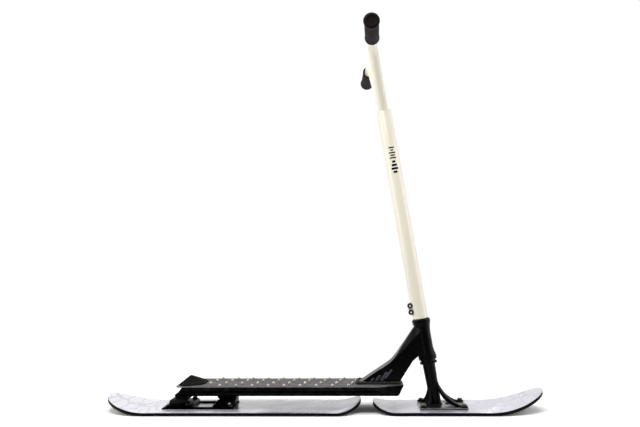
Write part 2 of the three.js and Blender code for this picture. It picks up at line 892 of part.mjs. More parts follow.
// One strut, standing in the XZ plane with the post at x = 0
function strutBlade(toe, drop) {
  const floor_z = fork_plate_top + seat_gap;
  const knee = strut_knee_radius;
  const top = strut_top_height - drop;
  const root = strut_root_height - drop / 2;
  const shape = new THREE.Shape();
  shape.moveTo(0, top);
  shape.lineTo(strut_root_radius, top);
  shape.quadraticCurveTo(knee, strut_knee_height, toe, floor_z + strut_toe_height);
  shape.lineTo(toe, floor_z);
  shape.lineTo(toe - strut_foot_length, floor_z);
  shape.quadraticCurveTo(knee, floor_z + strut_arch_height, strut_root_radius, root);
  shape.lineTo(0, root);
  const blade = new THREE.ExtrudeGeometry(shape, {
    depth: strut_thickness,
    bevelEnabled: false,
    curveSegments: 8,
  });
  blade.rotateX(Math.PI / 2);
  blade.translate(0, strut_thickness / 2, 0);
  return solid(blade);
}

function roundedPlan(x0, x1, half, radius) {
  const shape = new THREE.Shape();
  shape.absarc(x0 + radius, -half + radius, radius, Math.PI, 1.5 * Math.PI);
  shape.absarc(x1 - radius, -half + radius, radius, 1.5 * Math.PI, 2 * Math.PI);
  shape.absarc(x1 - radius, half - radius, radius, 0, 0.5 * Math.PI);
  shape.absarc(x0 + radius, half - radius, radius, 0.5 * Math.PI, Math.PI);
  return shape;
}

function rounded(x0, x1, half, radius, z0, z1) {
  const geometry = new THREE.ExtrudeGeometry(roundedPlan(x0, x1, half, radius), {
    depth: z1 - z0,
    bevelEnabled: false,
    curveSegments: 4,
  });
  geometry.translate(0, 0, z0);
  return solid(geometry);
}

function makeForkPlate() {
  const rear = plate_axis_x - fork_bolt_rear - fork_plate_margin;
  const front = plate_axis_x + fork_bolt_front + fork_plate_margin;
  const half = fork_bolt_half_spacing + fork_plate_side_margin;
  const plate = rounded(rear, front, half, fork_plate_corner, fork_plate_bottom, fork_plate_top);
  const window = rounded(plate_axis_x + fork_window_rear, plate_axis_x + fork_window_front,
    fork_window_half_width, fork_plate_corner, fork_plate_bottom - overrun, fork_plate_top + overrun);
  const holes = boltHoles(front_bolt_places, hole_radius, fork_plate_bottom - overrun,
    fork_plate_top + overrun);
  add('fork_plate', cut(plate, window, ...holes), bare_steel);
  const clamped = seat_gap + strut_pad_thickness + seat_gap + fork_plate_thickness + seat_gap;
  const bolt = socketBolt(clamped + board_bolt_depth);
  const head_bottom = fork_plate_top + seat_gap + strut_pad_thickness + seat_gap;
  addBolts('fork_bolt', bolt, front_bolt_places, head_bottom, bright_steel);
}

// Bar

// A path of two straight runs and one round bend, with stations only where the tube turns
class BentPath extends THREE.Curve {
  constructor(start, corner, end, radius, bend_steps) {
    super();
    const first = corner.clone().sub(start).normalize();
    const second = end.clone().sub(corner).normalize();
    const angle = first.angleTo(second);
    const inward = second.clone().addScaledVector(first, -first.dot(second)).normalize();
    const arc_start = corner.clone().addScaledVector(first, -radius * Math.tan(angle / 2));
    this.places = [[start, first]];
    for (let i = 0; i <= bend_steps; i += 1) {
      const turn = (angle * i) / bend_steps;
      const place = arc_start.clone()
        .addScaledVector(first, radius * Math.sin(turn))
        .addScaledVector(inward, radius * (1 - Math.cos(turn)));
      const along = first.clone().multiplyScalar(Math.cos(turn))
        .addScaledVector(inward, Math.sin(turn));
      this.places.push([place, along]);
    }
    this.places.push([end, second]);
    this.steps = this.places.length - 1;
  }

  getPoint(t, target = new THREE.Vector3()) {
    return target.copy(this.places[Math.round(t * this.steps)][0]);
  }

  getPointAt(t, target) {
    return this.getPoint(t, target);
  }

  getTangentAt(t, target = new THREE.Vector3()) {
    return target.copy(this.places[Math.round(t * this.steps)][1]).normalize();
  }
}

function pipeSection(outer, inner) {
  const shape = new THREE.Shape();
  shape.absarc(0, 0, outer, 0, 2 * Math.PI);
  const hole = new THREE.Path();
  hole.absarc(0, 0, inner, 0, 2 * Math.PI, true);
  shape.holes.push(hole);
  return shape;
}

function lugOutline() {
  const first = bar_bottom + clamp_first_bolt;
  const last = first + clamp_bolt_pitch;
  const reach = -clamp_lug_reach;
  const slope = clamp_lug_margin / 2;
  return outline([
    [0, first - clamp_lug_margin - slope],
    [-downtube_radius, first - clamp_lug_margin],
    [reach + slope, first - clamp_lug_margin + slope / 2],
    [reach, first - slope / 2],
    [reach, last + slope / 2],
    [reach + slope, last + clamp_lug_margin - slope / 2],
    [-downtube_radius, last + clamp_lug_margin],
    [0, last + clamp_lug_margin + slope],
  ]);
}

function makeDowntube() {
  const inner = downtube_radius - downtube_wall;
  const pipe = rod(downtube_radius, bar_bottom, bar_top, fine_sides);
  const bore = rod(inner, bar_bottom - overrun, bar_top - bar_cap_thickness, fine_sides);
  const lug_outer = clamp_slit_width / 2 + clamp_lug_thickness;
  const lugs = across(lugOutline(), -lug_outer, lug_outer);
  const slit = block(-overrun - downtube_radius, -inner / 2, -clamp_slit_width / 2,
    clamp_slit_width / 2, bar_bottom - overrun, bar_bottom + clamp_slit_length);
  const bolt_holes = clampBoltHeights().map((z) => {
    const hole = rod(hole_radius, -overrun, overrun, bolt_sides);
    const head_seat = rod(clamp_head_radius + bolt_clearance, lug_outer, overrun, bolt_sides);
    return moved(laid(join(hole, head_seat)), -clamp_bolt_offset, 0, z);
  });
  add('bar_downtube', tilted(cut(join(pipe, lugs), bore, slit, ...bolt_holes)), ivory_paint);
}

function clampBoltHeights() {
  const first = bar_bottom + clamp_first_bolt;
  return [first, first + clamp_bolt_pitch];
}

function makeClamp() {
  const lug_outer = clamp_slit_width / 2 + clamp_lug_thickness;
  const bolt = laid(socketBolt(2 * lug_outer, clamp_head_radius));
  clampBoltHeights().forEach((z, i) => {
    const placed = moved(bolt, -clamp_bolt_offset, -lug_outer - seat_gap, z);
    add(`clamp_bolt_${i + 1}`, tilted(placed), black_steel);
  });
  const shim_outer = downtube_radius - downtube_wall - seat_gap;
  const shim_inner = steerer_radius + seat_gap;
  add('bar_shim', tilted(ring(shim_inner, shim_outer, bar_bottom, bar_bottom + shim_length)), bright_steel);
}

function makeSteererPlug() {
  const inner = steerer_radius - steerer_wall - seat_gap;
  const plug_bottom = steerer_top - 2 * steerer_radius;
  const hole = bolt_radius + bolt_clearance;
  add('steerer_plug', tilted(ring(hole, inner, plug_bottom, plug_bottom + steerer_radius)), bright_steel);
  const cap_bottom = steerer_top + seat_gap;
  const cap_top = cap_bottom + steerer_wall;
  add('compression_cap', tilted(ring(hole, steerer_radius, cap_bottom, cap_top)), bright_steel);
  const head = cap_top + seat_gap;
  const bolt = socketBolt(head - plug_bottom);
  add('compression_bolt', tilted(moved(bolt, 0, 0, head)), black_steel);
}

function barPath(side, root_overrun) {
  const root = new THREE.Vector3(0, 0, bar_top - leg_root_drop);
  const corner = new THREE.Vector3(-bar_lean, side * bar_corner_half_width, grip_line);
  const end = new THREE.Vector3(-bar_lean - bar_sweep, side * bar_half_width, grip_line);
  const first = corner.clone().sub(root).normalize();
  const start = root.addScaledVector(first, -root_overrun);
  return new BentPath(start, corner, end, bar_bend_radius, bar_bend_steps);
}

function makeLeg(name, side) {
  const path = barPath(side, bar_tube_radius);
  const leg = solid(new THREE.ExtrudeGeometry(
    pipeSection(bar_tube_radius, bar_tube_radius - bar_tube_wall),
    { steps: path.steps, extrudePath: path, curveSegments: ring_sides / 2, bevelEnabled: false },
  ));
  const far = overall_length;
  const split = side * seat_gap / 2;
  const other_half = side > 0
    ? block(-far, far, -far, split, -far, far)
    : block(-far, far, split, far, -far, far);
  const tube_space = rod(downtube_radius + seat_gap, -far, bar_top + seat_gap, fine_sides);
  add(`bar_leg_${name}`, tilted(cut(leg, other_half, tube_space)), ivory_paint);
}

// Moves a piece made along +Z to a place on the bar's straight end, pointing outwards
function onBarEnd(body, side, from_end) {
  const slope = bar_sweep / (bar_half_width - bar_corner_half_width);
  const sweep = THREE.MathUtils.radToDeg(Math.atan(slope));
  const along = bar_half_width - from_end;
  const x = -bar_lean - bar_sweep + from_end * slope;
  const turned_out = body.rotate([-side * 90, 0, 0]).rotate([0, 0, side * sweep]);
  return tilted(moved(turned_out, x, side * along, grip_line));
}

function gripProfile() {
  const inner = bar_tube_radius + seat_gap;
  const shoulder = grip_flange_width;
  const ribbed_start = 2 * grip_flange_width;
  const rib = (grip_length - 2 * ribbed_start) / grip_rib_count;
  const profile = [
    [inner, 0],
    [grip_flange_radius, 0],
    [grip_flange_radius, shoulder * grip_flange_flat_share],
    [grip_radius, shoulder],
  ];
  for (let i = 0; i < grip_rib_count; i += 1) {
    const start = ribbed_start + i * rib;
    profile.push([grip_radius - grip_groove_depth, start]);
    profile.push([grip_radius, start + rib / 2]);
  }
  profile.push([grip_radius, grip_length - shoulder]);
  profile.push([grip_radius - grip_groove_depth, grip_length]);
  profile.push([inner, grip_length], [inner, 0]);
  return profile;
}

// The bar end's outline, in shares of its radius and its length
const bar_end_shares = [[0.9, 0], [1, 0.25], [1, 0.6], [0.88, 0.9], [0.6, 1]];

function makeGrips() {
  const grip = turned(gripProfile(), ring_sides);
  const stem_radius = bar_tube_radius - bar_tube_wall - seat_gap;
  const cap = turned([
    [0, -bar_end_stem],
    [stem_radius, -bar_end_stem],
    [stem_radius, 0],
    ...bar_end_shares.map(([out, along]) => [bar_end_radius * out, bar_end_length * along]),
    [0, bar_end_length],
  ], ring_sides);
  for (const [name, side] of [['left', 1], ['right', -1]]) {
    makeLeg(name, side);
    add(`grip_${name}`, onBarEnd(grip, side, grip_length), black_rubber);
    add(`bar_end_${name}`, onBarEnd(cap, side, -seat_gap), black_rubber);
  }
}

// Rear truck

const hanger_bolt_places = [
  [pivot_x - hanger_bolt_rear, hanger_bolt_offset],
  [pivot_x - hanger_bolt_rear, -hanger_bolt_offset],
  [pivot_x - hanger_bolt_middle, hanger_bolt_offset],
  [pivot_x - hanger_bolt_middle, -hanger_bolt_offset],
];

const bush_flange_gap = bush_flange_height + 2 * seat_gap;
const lug_half_width = ear_inner - bush_flange_gap;
const ear_outer = ear_inner + ear_thickness;

function hangerLug() {
  const shape = new THREE.Shape();
  const start = -0.75 * Math.PI;
  const rear_x = pivot_x - hanger_lug_rear;
  shape.moveTo(rear_x, hanger_top);
  shape.lineTo(rear_x, hanger_bottom - hanger_plate_thickness);
  shape.absarc(pivot_x, pivot_z, barrel_radius, start, 0.1 * Math.PI);
  shape.lineTo(pivot_x + hanger_front, hanger_bottom - hanger_plate_thickness);
  shape.lineTo(pivot_x + hanger_front, hanger_top);
  return shape;
}

function makeHanger() {
  const plate = block(pivot_x - hanger_rear, pivot_x + hanger_front, -hanger_half_width,
    hanger_half_width, hanger_bottom, hanger_top);
  const lug = across(hangerLug(), -lug_half_width, lug_half_width);
  const bush_hole = rod(bush_radius + seat_gap, -overall_length, overall_length);
  const bore = moved(laid(bush_hole), pivot_x, 0, pivot_z);
  const holes = boltHoles(hanger_bolt_places, hole_radius, hanger_bottom - overrun,
    hanger_top + overrun);
  add('rear_hanger', cut(join(plate, lug), bore, ...holes), black_coat);
  const bolt = rod(bolt_head_radius, 0, hanger_bolt_head_height, bolt_sides);
  const shank_length = seat_gap + hanger_plate_thickness + hanger_bolt_depth;
  const shank = rod(bolt_radius, hanger_bolt_head_height / 2,
    hanger_bolt_head_height + shank_length, bolt_sides);
  const socket = rod(bolt_socket_radius, -overrun, hanger_bolt_head_height / 2, hex_sides);
  const low = hanger_bottom - seat_gap - hanger_bolt_head_height;
  addBolts('hanger_bolt', join(bolt, shank).subtract(socket), hanger_bolt_places, low, black_steel);
}

function makePivot() {
  const bush_inner = pivot_bolt_radius + seat_gap;
  const bush = join(
    ring(bush_inner, bush_radius, 0, bush_length),
    ring(bush_inner, bush_flange_radius, bush_length, bush_length + bush_flange_height),
  );
  const bush_start = lug_half_width + seat_gap - bush_length;
  const right_bush = moved(laid(bush), pivot_x, -bush_start, pivot_z);
  const left_bush = moved(laid(bush).rotate([0, 0, 180]), pivot_x, bush_start, pivot_z);
  add('pivot_bush_right', right_bush, bright_steel);
  add('pivot_bush_left', left_bush, bright_steel);
  const bolt_length = 2 * (ear_outer + seat_gap) + pivot_head_height + seat_gap;
  const head = rod(pivot_head_radius, 0, pivot_head_height, bolt_sides);
  const shank = rod(pivot_bolt_radius, -bolt_length, pivot_head_height / 2, bolt_sides);
  const socket = rod(pivot_socket_radius, pivot_head_height / 2, pivot_head_height + overrun,
    hex_sides);
  const bolt = laid(cut(join(head, shank), socket));
  add('pivot_bolt', moved(bolt, pivot_x, -ear_outer - seat_gap, pivot_z), bright_steel);
  const nut = cut(rod(pivot_head_radius, 0, pivot_head_height, hex_sides),
    rod(pivot_bolt_radius + seat_gap, -overrun, overrun, bolt_sides));
  const nut_y = ear_outer + seat_gap + pivot_head_height;
  add('pivot_nut', moved(laid(nut), pivot_x, nut_y, pivot_z), bright_steel);
}

function earOutline() {
  const foot = base_top - base_height / 2;
  const shape = new THREE.Shape();
  shape.moveTo(pivot_x + base_front, foot);
  shape.absarc(pivot_x, pivot_z, ear_radius, -Math.PI / 6, Math.PI / 2);
  shape.lineTo(pivot_x - ear_rear_top, pivot_z + ear_shoulder);
  shape.lineTo(pivot_x - ear_rear_foot, foot);
  return shape;
}

function makeTruckBase() {
  const rear = pivot_x - base_rear;
  const front = pivot_x + base_front;
  const side_view = outline([
    [rear, base_bottom],
    [front, base_bottom],
    [front, base_top],
    [rear + base_rear_bevel, base_top],
    [rear, base_bottom + base_height / 3],
  ]);
  const body = across(side_view, -base_half_width, base_half_width);
  const window = block(pivot_x - base_window_rear, pivot_x - base_window_front, -ear_inner, ear_inner,
    base_bottom - overrun, base_top + overrun);
  const notch = block(pivot_x - base_notch, front + overrun, -ear_inner, ear_inner,
    base_bottom - overrun, base_top + overrun);
  const ears = [-ear_outer, ear_inner].map((y) => across(earOutline(), y, y + ear_thickness));
  const holes = boltHoles(rear_bolt_places, hole_radius, base_bottom - overrun, plinth_top + overrun);
  const plinth = across(outline([
    [rear + plinth_rear_inset, base_top - base_height / 2],
    [pivot_x - plinth_front, base_top - base_height / 2],
    [pivot_x - plinth_front, plinth_top - plinth_bevel / 2],
    [pivot_x - plinth_front - plinth_bevel / 2, plinth_top],
    [rear + plinth_rear_inset + plinth_bevel, plinth_top],
    [rear + plinth_rear_inset, plinth_top - plinth_bevel],
  ]), -base_half_width, base_half_width);
  const bolt_hole = rod(pivot_bolt_radius + bolt_clearance, -overall_length, overall_length,
    bolt_sides);
  const bore = moved(laid(bolt_hole), pivot_x, 0, pivot_z);
  add('truck_base', cut(join(body, plinth, ...ears), window, notch, bore, ...holes), black_coat);
  const clamped = seat_gap + base_height + seat_gap;
  const bolt = washeredBolt(clamped + plinth_height + board_bolt_depth);
  const front_bolt = socketBolt(clamped + board_bolt_depth);
  addBolts('truck_rear_bolt', bolt, rear_bolt_places.slice(0, 2), plinth_top + seat_gap, bright_steel);
  addBolts('truck_front_bolt', front_bolt, rear_bolt_places.slice(2), base_top + seat_gap, bright_steel);
}

function makeRubber() {
  const seat_bottom = plinth_top + seat_gap;
  const seat_top = block_bottom - seat_gap;
  const front_top = pivot_x - seat_front + seat_overhang;
  const seat = across(outline([
    [pivot_x - seat_rear, seat_bottom],
    [pivot_x - seat_front, seat_bottom],
    [front_top, seat_top - seat_lip],
    [front_top, seat_top],
    [pivot_x - seat_rear + seat_flare, seat_top],
    [pivot_x - seat_rear, seat_top - seat_lip],
  ]), -seat_half_width, seat_half_width);
  add('block_seat', seat, grey_cast);
  const rubber = block(pivot_x - hanger_rear, pivot_x - block_front, -block_half_width,
    block_half_width, block_bottom, block_top);
  add('rubber_block', rubber, black_rubber);
}

makeBoards();
makeDeck();
makeStuds();
makeTailWedge();
makeHeadTube();
makeNeck();
makeFork();
makeForkPlate();
makeDowntube();
makeClamp();
makeSteererPlug();
makeGrips();
makeHanger();
makePivot();
makeTruckBase();
makeRubber();

export default scooter;
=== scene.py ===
# %% [markdown]
# # A snow scooter, dressed over its CAD frame
# The real thing is a kick scooter's deck and bar set on two short snow boards.
# The CAD solids give every size and every joint. This lesson adds what a camera
# sees: turned tubes, printed boards, rolled edges, studs, welds and finishes.
# It loads the imported solids first.

# %% Load the frame
import bmesh
import bpy
import json
import math
from contextlib import contextmanager
from mathutils import Matrix, Vector


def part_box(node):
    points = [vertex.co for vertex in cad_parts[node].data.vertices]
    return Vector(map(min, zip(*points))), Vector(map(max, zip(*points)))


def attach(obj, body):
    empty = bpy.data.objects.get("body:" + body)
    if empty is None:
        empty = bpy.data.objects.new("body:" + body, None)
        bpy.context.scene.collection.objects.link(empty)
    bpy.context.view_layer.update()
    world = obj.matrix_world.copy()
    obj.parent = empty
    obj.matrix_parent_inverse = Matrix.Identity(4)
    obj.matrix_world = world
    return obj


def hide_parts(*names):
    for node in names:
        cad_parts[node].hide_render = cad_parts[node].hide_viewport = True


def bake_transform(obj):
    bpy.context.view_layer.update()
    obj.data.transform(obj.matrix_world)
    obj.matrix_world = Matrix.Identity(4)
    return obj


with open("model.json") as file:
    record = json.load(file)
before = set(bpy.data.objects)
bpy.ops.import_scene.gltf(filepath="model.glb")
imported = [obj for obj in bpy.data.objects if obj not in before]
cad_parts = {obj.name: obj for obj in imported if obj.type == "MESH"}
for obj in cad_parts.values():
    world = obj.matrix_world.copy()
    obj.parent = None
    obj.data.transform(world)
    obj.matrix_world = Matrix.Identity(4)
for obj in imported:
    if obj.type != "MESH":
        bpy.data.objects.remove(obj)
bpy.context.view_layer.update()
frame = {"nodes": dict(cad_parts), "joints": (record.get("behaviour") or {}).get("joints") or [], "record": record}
scene = bpy.context.scene
scene.view_settings.view_transform = "Standard"
MM = 0.001

def rounded(corner):
    return tuple(round(a, 3) for a in corner)

# %% [markdown]
# ## The camera
# The photograph was taken from the scooter's right side, a little above the
# deck, with a lens of about 45 mm on a full frame. Its place was worked out
# from the boards' ends, the deck and the bar. The camera's axes are written as
# three directions, which is easier to check than angles.

# %% Set up the camera
STAND = (0.0722, -1.848, 0.344)
YAW, PITCH, ROLL = (math.radians(a) for a in (-2.39, 3.25, -0.42))

def look_axes(yaw, pitch, roll):
    """Right, up and forward of a camera that looks along +Y before it is turned."""
    forward = Vector((math.sin(yaw) * math.cos(pitch), math.cos(yaw) * math.cos(pitch), math.sin(pitch)))
    level = Vector((math.cos(yaw), -math.sin(yaw), 0))
    upright = level.cross(forward)
    right = level * math.cos(roll) + upright * math.sin(roll)
    return right, right.cross(forward), forward

lens = bpy.data.cameras.new("studio_camera")
lens.sensor_width = 36
lens.lens = 44.89
lens.clip_start = 0.05
camera = bpy.data.objects.new("studio_camera", lens)
right, up, forward = look_axes(YAW, PITCH, ROLL)
camera.matrix_world = Matrix.Translation(STAND) @ Matrix((right, up, -forward)).transposed().to_4x4()
scene.collection.objects.link(camera)
scene.camera = camera
print("camera stands at", rounded(camera.location))

# %% [markdown]
# ## Studio light
# Small shader trees come up all through this lesson, so one helper adds a node
# and wires its inputs, and a few more stand for what is used most. The studio
# is a light tent that is open towards the camera: both sides and the top glow,
# and the front is dark. So the pale tube has bright rims and the black steel
# stays black.

# %% Node helpers
def put(tree, kind, inputs=None, **settings):
    """Adds a node and gives back its outputs. An input is a value, a socket or a list of sockets."""
    made = tree.nodes.new(kind)
    for name, value in settings.items():
        setattr(made, name, value)
    for name, value in (inputs or {}).items():
        if isinstance(value, (list, bpy.types.NodeSocket)):
            for source in value if isinstance(value, list) else [value]:
                tree.links.new(source, made.inputs[name])
        else:
            made.inputs[name].default_value = value
    return made.outputs

def calc(tree, operation, a, b, **settings):
    return put(tree, "ShaderNodeMath", {0: a, 1: b}, operation=operation, **settings)["Value"]

def spread(tree, value, start, stop, low=0.0, high=1.0, **settings):
    """A value between start and stop, carried over to low and high."""
    inputs = {"Value": value, "From Min": start, "From Max": stop, "To Min": low, "To Max": high}
    return put(tree, "ShaderNodeMapRange", inputs, **settings)["Result"]

def mixed(tree, share, a, b):
    """A mix of two colours. Each is a socket or three numbers."""
    a, b = ((*c, 1) if isinstance(c, tuple) else c for c in (a, b))
    return put(tree, "ShaderNodeMix", {"Factor": share, "A": a, "B": b}, data_type="RGBA")["Result"]

def either(tree, share, a, b):
    return put(tree, "ShaderNodeMixShader", {"Fac": share, 1: a, 2: b})["Shader"]

def glow(tree, strength, kind="Emission"):
    """A white light of its own: an emission, or the world's background."""
    return put(tree, f"ShaderNode{kind}", {"Color": (1, 1, 1, 1), "Strength": strength})[kind]

def ramp(tree, source, stops):
    """A colour ramp over a value. Stops are (place, colour or grey)."""
    made = tree.nodes.new("ShaderNodeValToRGB")
    elements = made.color_ramp.elements
    while len(elements) < len(stops):
        elements.new(0.5)
    for element, (place, tone) in zip(elements, stops):
        element.position = place
        element.color = (tone, tone, tone, 1) if isinstance(tone, (int, float)) else (*tone, 1)
    tree.links.new(source, made.inputs["Fac"])
    return made.outputs["Color"]

print("node helpers ready for Blender", bpy.app.version_string)

# %% Start a material or a node group
def new_material(name):
    """An empty material and its tree."""
    material = bpy.data.materials.new(name)
    material.use_nodes = True
    material.node_tree.nodes.clear()
    return material, material.node_tree

def new_tree(name, kind, inputs, outputs):
    """An empty node group, and what its input node gives. Each input is (name, kind, value)."""
    tree = bpy.data.node_groups.new(name, kind)
    for label, socket_kind, value in inputs:
        socket = tree.interface.new_socket(name=label, in_out="INPUT", socket_type=f"NodeSocket{socket_kind}")
        if value is not None:
            socket.default_value = value
    for label, socket_kind in outputs:
        tree.interface.new_socket(name=label, in_out="OUTPUT", socket_type=f"NodeSocket{socket_kind}")
    return tree, put(tree, "NodeGroupInput")

print("materials so far:", len(bpy.data.materials))

# %% Light the studio
world = bpy.data.worlds.new("light_tent")
scene.world = world
world.use_nodes = True
tent = world.node_tree
tent.nodes.clear()
direction = put(tent, "ShaderNodeTexCoord")
depth = put(tent, "ShaderNodeSeparateXYZ", {"Vector": direction["Generated"]})["Y"]
rays = put(tent, "ShaderNodeLightPath")
lit_by_tent = glow(tent, spread(tent, depth, -1.0, 0.0, 0.02, 0.5), "Background")
seen_in_gloss = glow(tent, spread(tent, depth, -0.48, 0.5, 0.03, 1.0), "Background")
gloss_or_glass = calc(tent, "ADD", rays["Is Glossy Ray"], rays["Is Transmission Ray"], use_clamp=True)
unseen = either(tent, gloss_or_glass, lit_by_tent, seen_in_gloss)
all_rays = either(tent, rays["Is Camera Ray"], unseen, glow(tent, 1.0, "Background"))
put(tent, "ShaderNodeOutputWorld", {"Surface": all_rays})

def softbox(name, place, aim, size, watts):
    lamp = bpy.data.lights.new(name, "AREA")
    lamp.shape = "RECTANGLE"
    lamp.size, lamp.size_y = size
    lamp.energy = watts
    lamp_object = bpy.data.objects.new(name, lamp)
    lamp_object.location = place
    lamp_object.rotation_euler = (Vector(aim) - Vector(place)).to_track_quat("-Z", "Y").to_euler()
    scene.collection.objects.link(lamp_object)

softbox("top_softbox", (0.1, 0.25, 2.1), (0.0, 0.0, 0.1), (2.0, 1.6), 10)
softbox("front_softbox", (0.15, -1.2, 2.4), (0.1, 0.0, 0.2), (1.8, 0.9), 18)
softbox("bar_softbox", (-0.45, -1.0, 1.5), (0.05, 0.0, 0.9), (0.5, 0.5), 6.5)
softbox("left_softbox", (-1.9, -0.45, 0.9), (0.0, 0.0, 0.5), (1.0, 1.6), 16)
softbox("right_softbox", (1.9, -0.3, 0.9), (0.2, 0.0, 0.5), (1.0, 1.6), 12)

# %% [markdown]
# The floor is plain white. Close to the scooter it takes its shadow, and
# further out it fades into the white ground. What the scooter mirrors is the
# same floor, but dark in front of it, as the open front of the tent is.

# %% Lay the white floor
REACH = 14.0
FADE_START, FADE_END = 0.7, 1.3
FRONT_DARK, FRONT_WHITE = -0.34, -0.2
floor_mesh = bpy.data.meshes.new("studio_floor")
corners = [(-REACH, -REACH, 0), (REACH, -REACH, 0), (REACH, REACH, 0), (-REACH, REACH, 0)]
floor_mesh.from_pydata(corners, [], [(0, 1, 2, 3)])
floor = bpy.data.objects.new("studio_floor", floor_mesh)
scene.collection.objects.link(floor)
floor_paint, tree = new_material("studio_white")
matt_white = put(tree, "ShaderNodeBsdfDiffuse", {"Color": (0.9, 0.9, 0.9, 1)})["BSDF"]
seen_white = put(tree, "ShaderNodeBsdfDiffuse", {"Color": (1.25, 1.25, 1.25, 1)})["BSDF"]
near_floor = put(tree, "ShaderNodeAddShader", {0: seen_white, 1: glow(tree, 0.03)})["Shader"]
spot = put(tree, "ShaderNodeTexCoord")["Object"]
from_middle = put(tree, "ShaderNodeVectorMath", {0: spot}, operation="LENGTH")["Value"]
far_share = spread(tree, from_middle, FADE_START, FADE_END, interpolation_type="SMOOTHSTEP")
white_afar = either(tree, far_share, near_floor, glow(tree, 1.0))
rays = put(tree, "ShaderNodeLightPath")
camera_or_gloss = calc(tree, "ADD", rays["Is Camera Ray"], rays["Is Glossy Ray"], use_clamp=True)
or_glass = calc(tree, "ADD", camera_or_gloss, rays["Is Transmission Ray"], use_clamp=True)
depth = put(tree, "ShaderNodeSeparateXYZ", {"Vector": spot})["Y"]
behind_front = spread(tree, depth, FRONT_DARK, FRONT_WHITE, interpolation_type="SMOOTHSTEP")
show_white = calc(tree, "MAXIMUM", behind_front, rays["Is Camera Ray"])
seen = either(tree, show_white, glow(tree, 0.05), white_afar)
put(tree, "ShaderNodeOutputMaterial", {"Surface": either(tree, or_glass, matt_white, seen)})
floor_mesh.materials.append(floor_paint)
print("floor is", 2 * REACH, "m wide")

# %% [markdown]
# ## Effects that several finishes share
# Coated steel is never a flat colour. Three small node groups hold what the
# finishes have in common: a fine grain, rubbed edges, and the smudges and fine
# scratches of handling. Each material places them with its own sizes. A group
# gives out masks and heights only, and the shader stays in the material.

# %% The grain of a coat
COARSE_SCALE = 0.13
grain, start = new_tree("coat_grain", "ShaderNodeTree",
                        [("Grains per metre", "Float", 900.0), ("Coarse share", "Float", 0.35)], [("Height", "Float")])
place = put(grain, "ShaderNodeTexCoord")["Object"]
coarse_scale = calc(grain, "MULTIPLY", start["Grains per metre"], COARSE_SCALE)
fine = put(grain, "ShaderNodeTexNoise",
           {"Vector": place, "Scale": start["Grains per metre"], "Detail": 3.0, "Roughness": 0.6})["Fac"]
coarse = put(grain, "ShaderNodeTexNoise",
             {"Vector": place, "Scale": coarse_scale, "Detail": 2.0, "Roughness": 0.5})["Fac"]
height = put(grain, "ShaderNodeMix", {"Factor": start["Coarse share"], "A": fine, "B": coarse}, data_type="FLOAT")
put(grain, "NodeGroupOutput", {"Height": height["Result"]})
print("group:", grain.name)

# %% Rubbed edges
rub, start = new_tree("edge_rub", "ShaderNodeTree",
                      [("Reach", "Float", 0.0012), ("Patches per metre", "Float", 60.0)],
                      [("Mask", "Float"), ("Soft Normal", "Vector")])
soft = put(rub, "ShaderNodeBevel", {"Radius": start["Reach"]}, samples=6)["Normal"]
flat = put(rub, "ShaderNodeNewGeometry")["True Normal"]
facing = put(rub, "ShaderNodeVectorMath", {0: soft, 1: flat}, operation="DOT_PRODUCT")["Value"]
place = put(rub, "ShaderNodeTexCoord")["Object"]
patches = put(rub, "ShaderNodeTexNoise",
              {"Vector": place, "Scale": start["Patches per metre"], "Detail": 4.0, "Roughness": 0.65})
patch_mask = ramp(rub, patches["Fac"], [(0.42, 0.0), (0.62, 1.0)])
worn = calc(rub, "MULTIPLY", spread(rub, facing, 0.995, 0.85), patch_mask, use_clamp=True)
put(rub, "NodeGroupOutput", {"Mask": worn, "Soft Normal": soft})
print("group:", rub.name)

# %% Marks of handling
marks, start = new_tree("handling_marks", "ShaderNodeTree",
                        [("Smudges per metre", "Float", 18.0), ("Scratches per metre", "Float", 260.0)],
                        [("Smudge", "Float"), ("Scratch", "Float")])
place = put(marks, "ShaderNodeTexCoord")["Object"]
smudge = put(marks, "ShaderNodeTexNoise", {"Vector": place, "Scale": start["Smudges per metre"],
                                           "Detail": 5.0, "Roughness": 0.62, "Distortion": 0.4})
stretch = put(marks, "ShaderNodeMapping", {"Vector": place, "Rotation": (0.3, 0.5, 0.4), "Scale": (0.05, 1.0, 1.0)})
lines = put(marks, "ShaderNodeTexNoise", {"Vector": stretch["Vector"], "Scale": start["Scratches per metre"],
                                          "Detail": 2.0, "Roughness": 0.5, "Distortion": 0.1})
put(marks, "NodeGroupOutput", {"Smudge": ramp(marks, smudge["Fac"], [(0.38, 0.0), (0.66, 1.0)]),
                               "Scratch": ramp(marks, lines["Fac"], [(0.66, 0.0), (0.72, 1.0)])})
print("group:", marks.name)

# %% [markdown]
# ## Finishes
# A finish is made from a plain recipe: its colour, the colour under it where
# the edge is rubbed (on the black alloy also a painted highlight along its
# edges), how rough it is, and how coarse its grain. The recipe places the
# three groups in each material. Numbers that are the same all over sit on the
# shader's own sockets.

# %% A recipe for coated and bare surfaces
finishes = {}
COAT_ROUGH, GRAIN_DEPTH = 0.12, 0.0004

